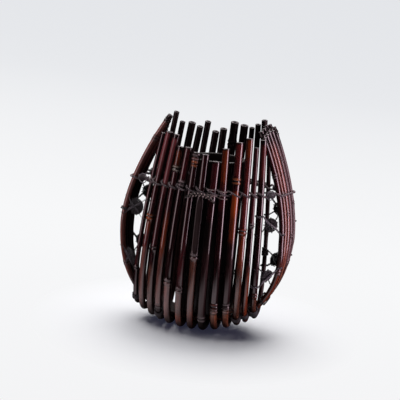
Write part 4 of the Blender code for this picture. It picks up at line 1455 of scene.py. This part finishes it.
def keep_off(lamp, pieces):
    """Screen a lamp off from the paper and from the canes that it would only haze."""
    listed = bpy.data.collections.new(f"{lamp.name}_keeps_off")
    for number, piece in enumerate(pieces):
        listed.objects.link(piece)
        listed.collection_objects[number].light_linking.link_state = "EXCLUDE"
    lamp.light_linking.receiver_collection = listed


# How many canes the left lamp lights, the size of the paper, where it keeps its shadow, and its colours,
# with the painted glow in its shadow and the painted reflection, with its painted shadow, that glossy rays
# see
LEFT_LIT_CANES = 7
FLOOR_HALF_WIDTH = 5.0
FLOOR_BACK = 2.6
SWEEP_RADIUS = 0.9
WALL_HEIGHT = 3.0
SHADOW_REACH = (0.10, 0.22)
PAPER = (0.86, 0.86, 0.875)
DARK_CARD = (0.006, 0.005, 0.006)
PAPER_FRONT = (0.16, 0.31)
PAPER_SHADE = (0.030, 0.085)
PAPER_SIDE = (0.10, 0.20)
MIRRORED_PAPER = (0.62, 0.545, 0.585)
SHADOW_GLOW = (0.015, 0.016, 0.031)
NEAR_WHITE = (0.88, 0.88, 0.895)
MIDDLE_WHITE = (0.93, 0.935, 0.945)
FAR_WHITE = (0.77, 0.785, 0.815)


def paper_shape():
    """A sheet that lies on the table, runs back and curves up behind the basket."""
    drop_selection()
    bpy.ops.mesh.primitive_plane_add(size=2 * FLOOR_HALF_WIDTH,
                                     location=(0, FLOOR_BACK - FLOOR_HALF_WIDTH, 0))
    floor = bpy.context.object
    floor.name = "paper_sweep"
    bpy.ops.object.transform_apply(location=True)
    with whole_mesh(floor):
        bpy.ops.mesh.select_mode(type="VERT")
        bpy.ops.mesh.select_all(action="DESELECT")
    for vertex in floor.data.vertices:
        vertex.select = vertex.co.y > FLOOR_BACK - SWEEP_RADIUS
    bpy.ops.object.mode_set(mode="EDIT")
    bpy.ops.mesh.select_mode(type="EDGE")
    bpy.ops.mesh.spin(steps=16, angle=-pi / 2, center=(0, FLOOR_BACK, SWEEP_RADIUS), axis=(1, 0, 0))
    bpy.ops.mesh.extrude_region_move(TRANSFORM_OT_translate={"value": (0, 0, WALL_HEIGHT)})
    bpy.ops.object.mode_set(mode="OBJECT")
    smooth(floor, 60)
    return floor


def make_floor():
    """The paper: lit and shaded near the basket, with a painted glow in its shadow, plain white further off,
    and a card of painted reflection, with a painted shadow under the basket, for glossy rays.
    """
    floor = paper_shape()
    material, nodes, shader = new_finish("paper", Roughness=0.6, Base_Color=PAPER)
    place = nodes.add("ShaderNodeTexCoord").outputs["Object"]
    x, y, _ = nodes.add("ShaderNodeSeparateXYZ", {"Vector": place}).outputs
    path = nodes.add("ShaderNodeLightPath").outputs
    flat = nodes.add("ShaderNodeCombineXYZ", {"X": x, "Y": y}).outputs["Vector"]
    away = nodes.add("ShaderNodeVectorMath", {0: flat}, operation="LENGTH").outputs["Value"]
    near = nodes.mix(nodes.between(y, -0.8, 0.3), NEAR_WHITE, MIDDLE_WHITE)
    white = nodes.mix(nodes.between(y, 0.5, 3.4), near, FAR_WHITE)
    glow = nodes.add("ShaderNodeEmission", {"Color": white})
    # A faint bluish glow, for the camera only, paints light into the paper's shadow
    soft = nodes.add("ShaderNodeEmission", {"Color": SHADOW_GLOW, "Strength": path["Is Camera Ray"]})
    lit = nodes.add("ShaderNodeAddShader", {0: shader.outputs[0], 1: soft.outputs[0]})
    plain = nodes.math("MULTIPLY", nodes.between(away, *SHADOW_REACH), path["Is Camera Ray"])
    seen = nodes.add("ShaderNodeMixShader", {0: plain, 1: lit.outputs[0], 2: glow.outputs[0]})
    # For glossy rays the paper is a painted reflection: the lit paper just in front of the basket, dark
    # further in front and to the sides, and a painted shadow under and behind the basket
    forward = nodes.math("SUBTRACT", nodes.math("MULTIPLY", x, -0.35), y)
    sideway = nodes.math("ADD", x, nodes.math("MULTIPLY", y, 0.21))
    aside = nodes.between(nodes.math("ABSOLUTE", sideway, 0.0), *PAPER_SIDE)
    dark = nodes.math("MAXIMUM", nodes.between(forward, *PAPER_FRONT), aside)
    dark = nodes.math("MAXIMUM", dark, nodes.between(forward, *PAPER_SHADE, 1.0, 0.0))
    card = nodes.add("ShaderNodeEmission", {"Color": nodes.mix(dark, MIRRORED_PAPER, DARK_CARD)})
    glossy = path["Is Glossy Ray"]
    whole = nodes.add("ShaderNodeMixShader", {0: glossy, 1: seen.outputs[0], 2: card.outputs[0]})
    nodes.feed(material.node_tree.nodes["Material Output"], {"Surface": whole.outputs[0]})
    floor.data.materials.append(material)
    return floor


ROOM_COLOUR = (0.82, 0.88, 1.0)
ROOM_LIGHT = 0.035
MIRRORED_ROOM = 0.006


def make_room():
    """The dim room in front of the basket, which the dark canes show between the lamps."""
    world = bpy.data.worlds.new("room")
    bpy.context.scene.world = world
    world.use_nodes = True
    nodes = Nodes(world.node_tree)
    glossy = nodes.add("ShaderNodeLightPath").outputs["Is Glossy Ray"]
    strength = nodes.between(glossy, 0.0, 1.0, ROOM_LIGHT, MIRRORED_ROOM)
    nodes.feed(world.node_tree.nodes["Background"], {"Color": ROOM_COLOUR, "Strength": strength})


def make_lights(paper, canes, tube):
    """A low bright box on the right, a broad soft one on the left and one overhead, a little behind."""
    right_box = make_lamp("right_box", (0.47, -0.09, 0.25), (0, 0, 0.22), (0.23, 0.50), 1.8,
                          (1.0, 0.78, 0.90))
    left_box = make_lamp("left_box", (-0.36, -0.32, 0.22), (0, 0, 0.18), (0.22, 0.42), 0.5,
                         (1.0, 0.80, 0.86))
    make_lamp("top_box", (-0.22, 0.40, 1.3), (0, 0, 0.0), (1.9, 1.6), 34)
    keep_off(right_box, [paper, tube])
    keep_off(left_box, [paper, tube] + canes[LEFT_LIT_CANES:])


make_camera()
paper_sweep = make_floor()
make_room()
skin = cane_skin_group()
dark_bamboo = cane_finish("dark_bamboo", skin, 0.8, 0.6, 0.16, 0.09)
strap_bamboo = cane_finish("strap_bamboo", skin, 0.7, 0.5, 0.20, 0.17)
vine = cord_finish("split_vine", (0.006, 0.003, 0.004), (0.640, 0.450, 0.500), 0.40)
braid_vine = cord_finish("braid_vine", (0.005, 0.002, 0.003), (0.950, 0.700, 0.670), 0.36)
tie_vine = cord_finish("tie_vine", (0.006, 0.004, 0.006), (0.480, 0.420, 0.480), 0.42)
wound = cord_finish("wound_vine", (0.004, 0.003, 0.004), (0.060, 0.050, 0.058), 0.6)
front_canes = make_canes(dark_bamboo)
make_strap(strap_bamboo)
water_tube = make_water_tube(tube_finish())
make_lights(paper_sweep, front_canes, water_tube)
make_band(vine)
make_braid(braid_vine)
make_wraps(wound)
for opening in CORNERS:
    make_spindle(opening, tie_vine)
    for disc_number in range(len(FRONT_DISC_HEIGHT_SHARES)):
        make_disc(opening, disc_number, wound)
        make_tie(opening, disc_number, tie_vine)

bpy.context.scene.view_settings.view_transform = "Standard"
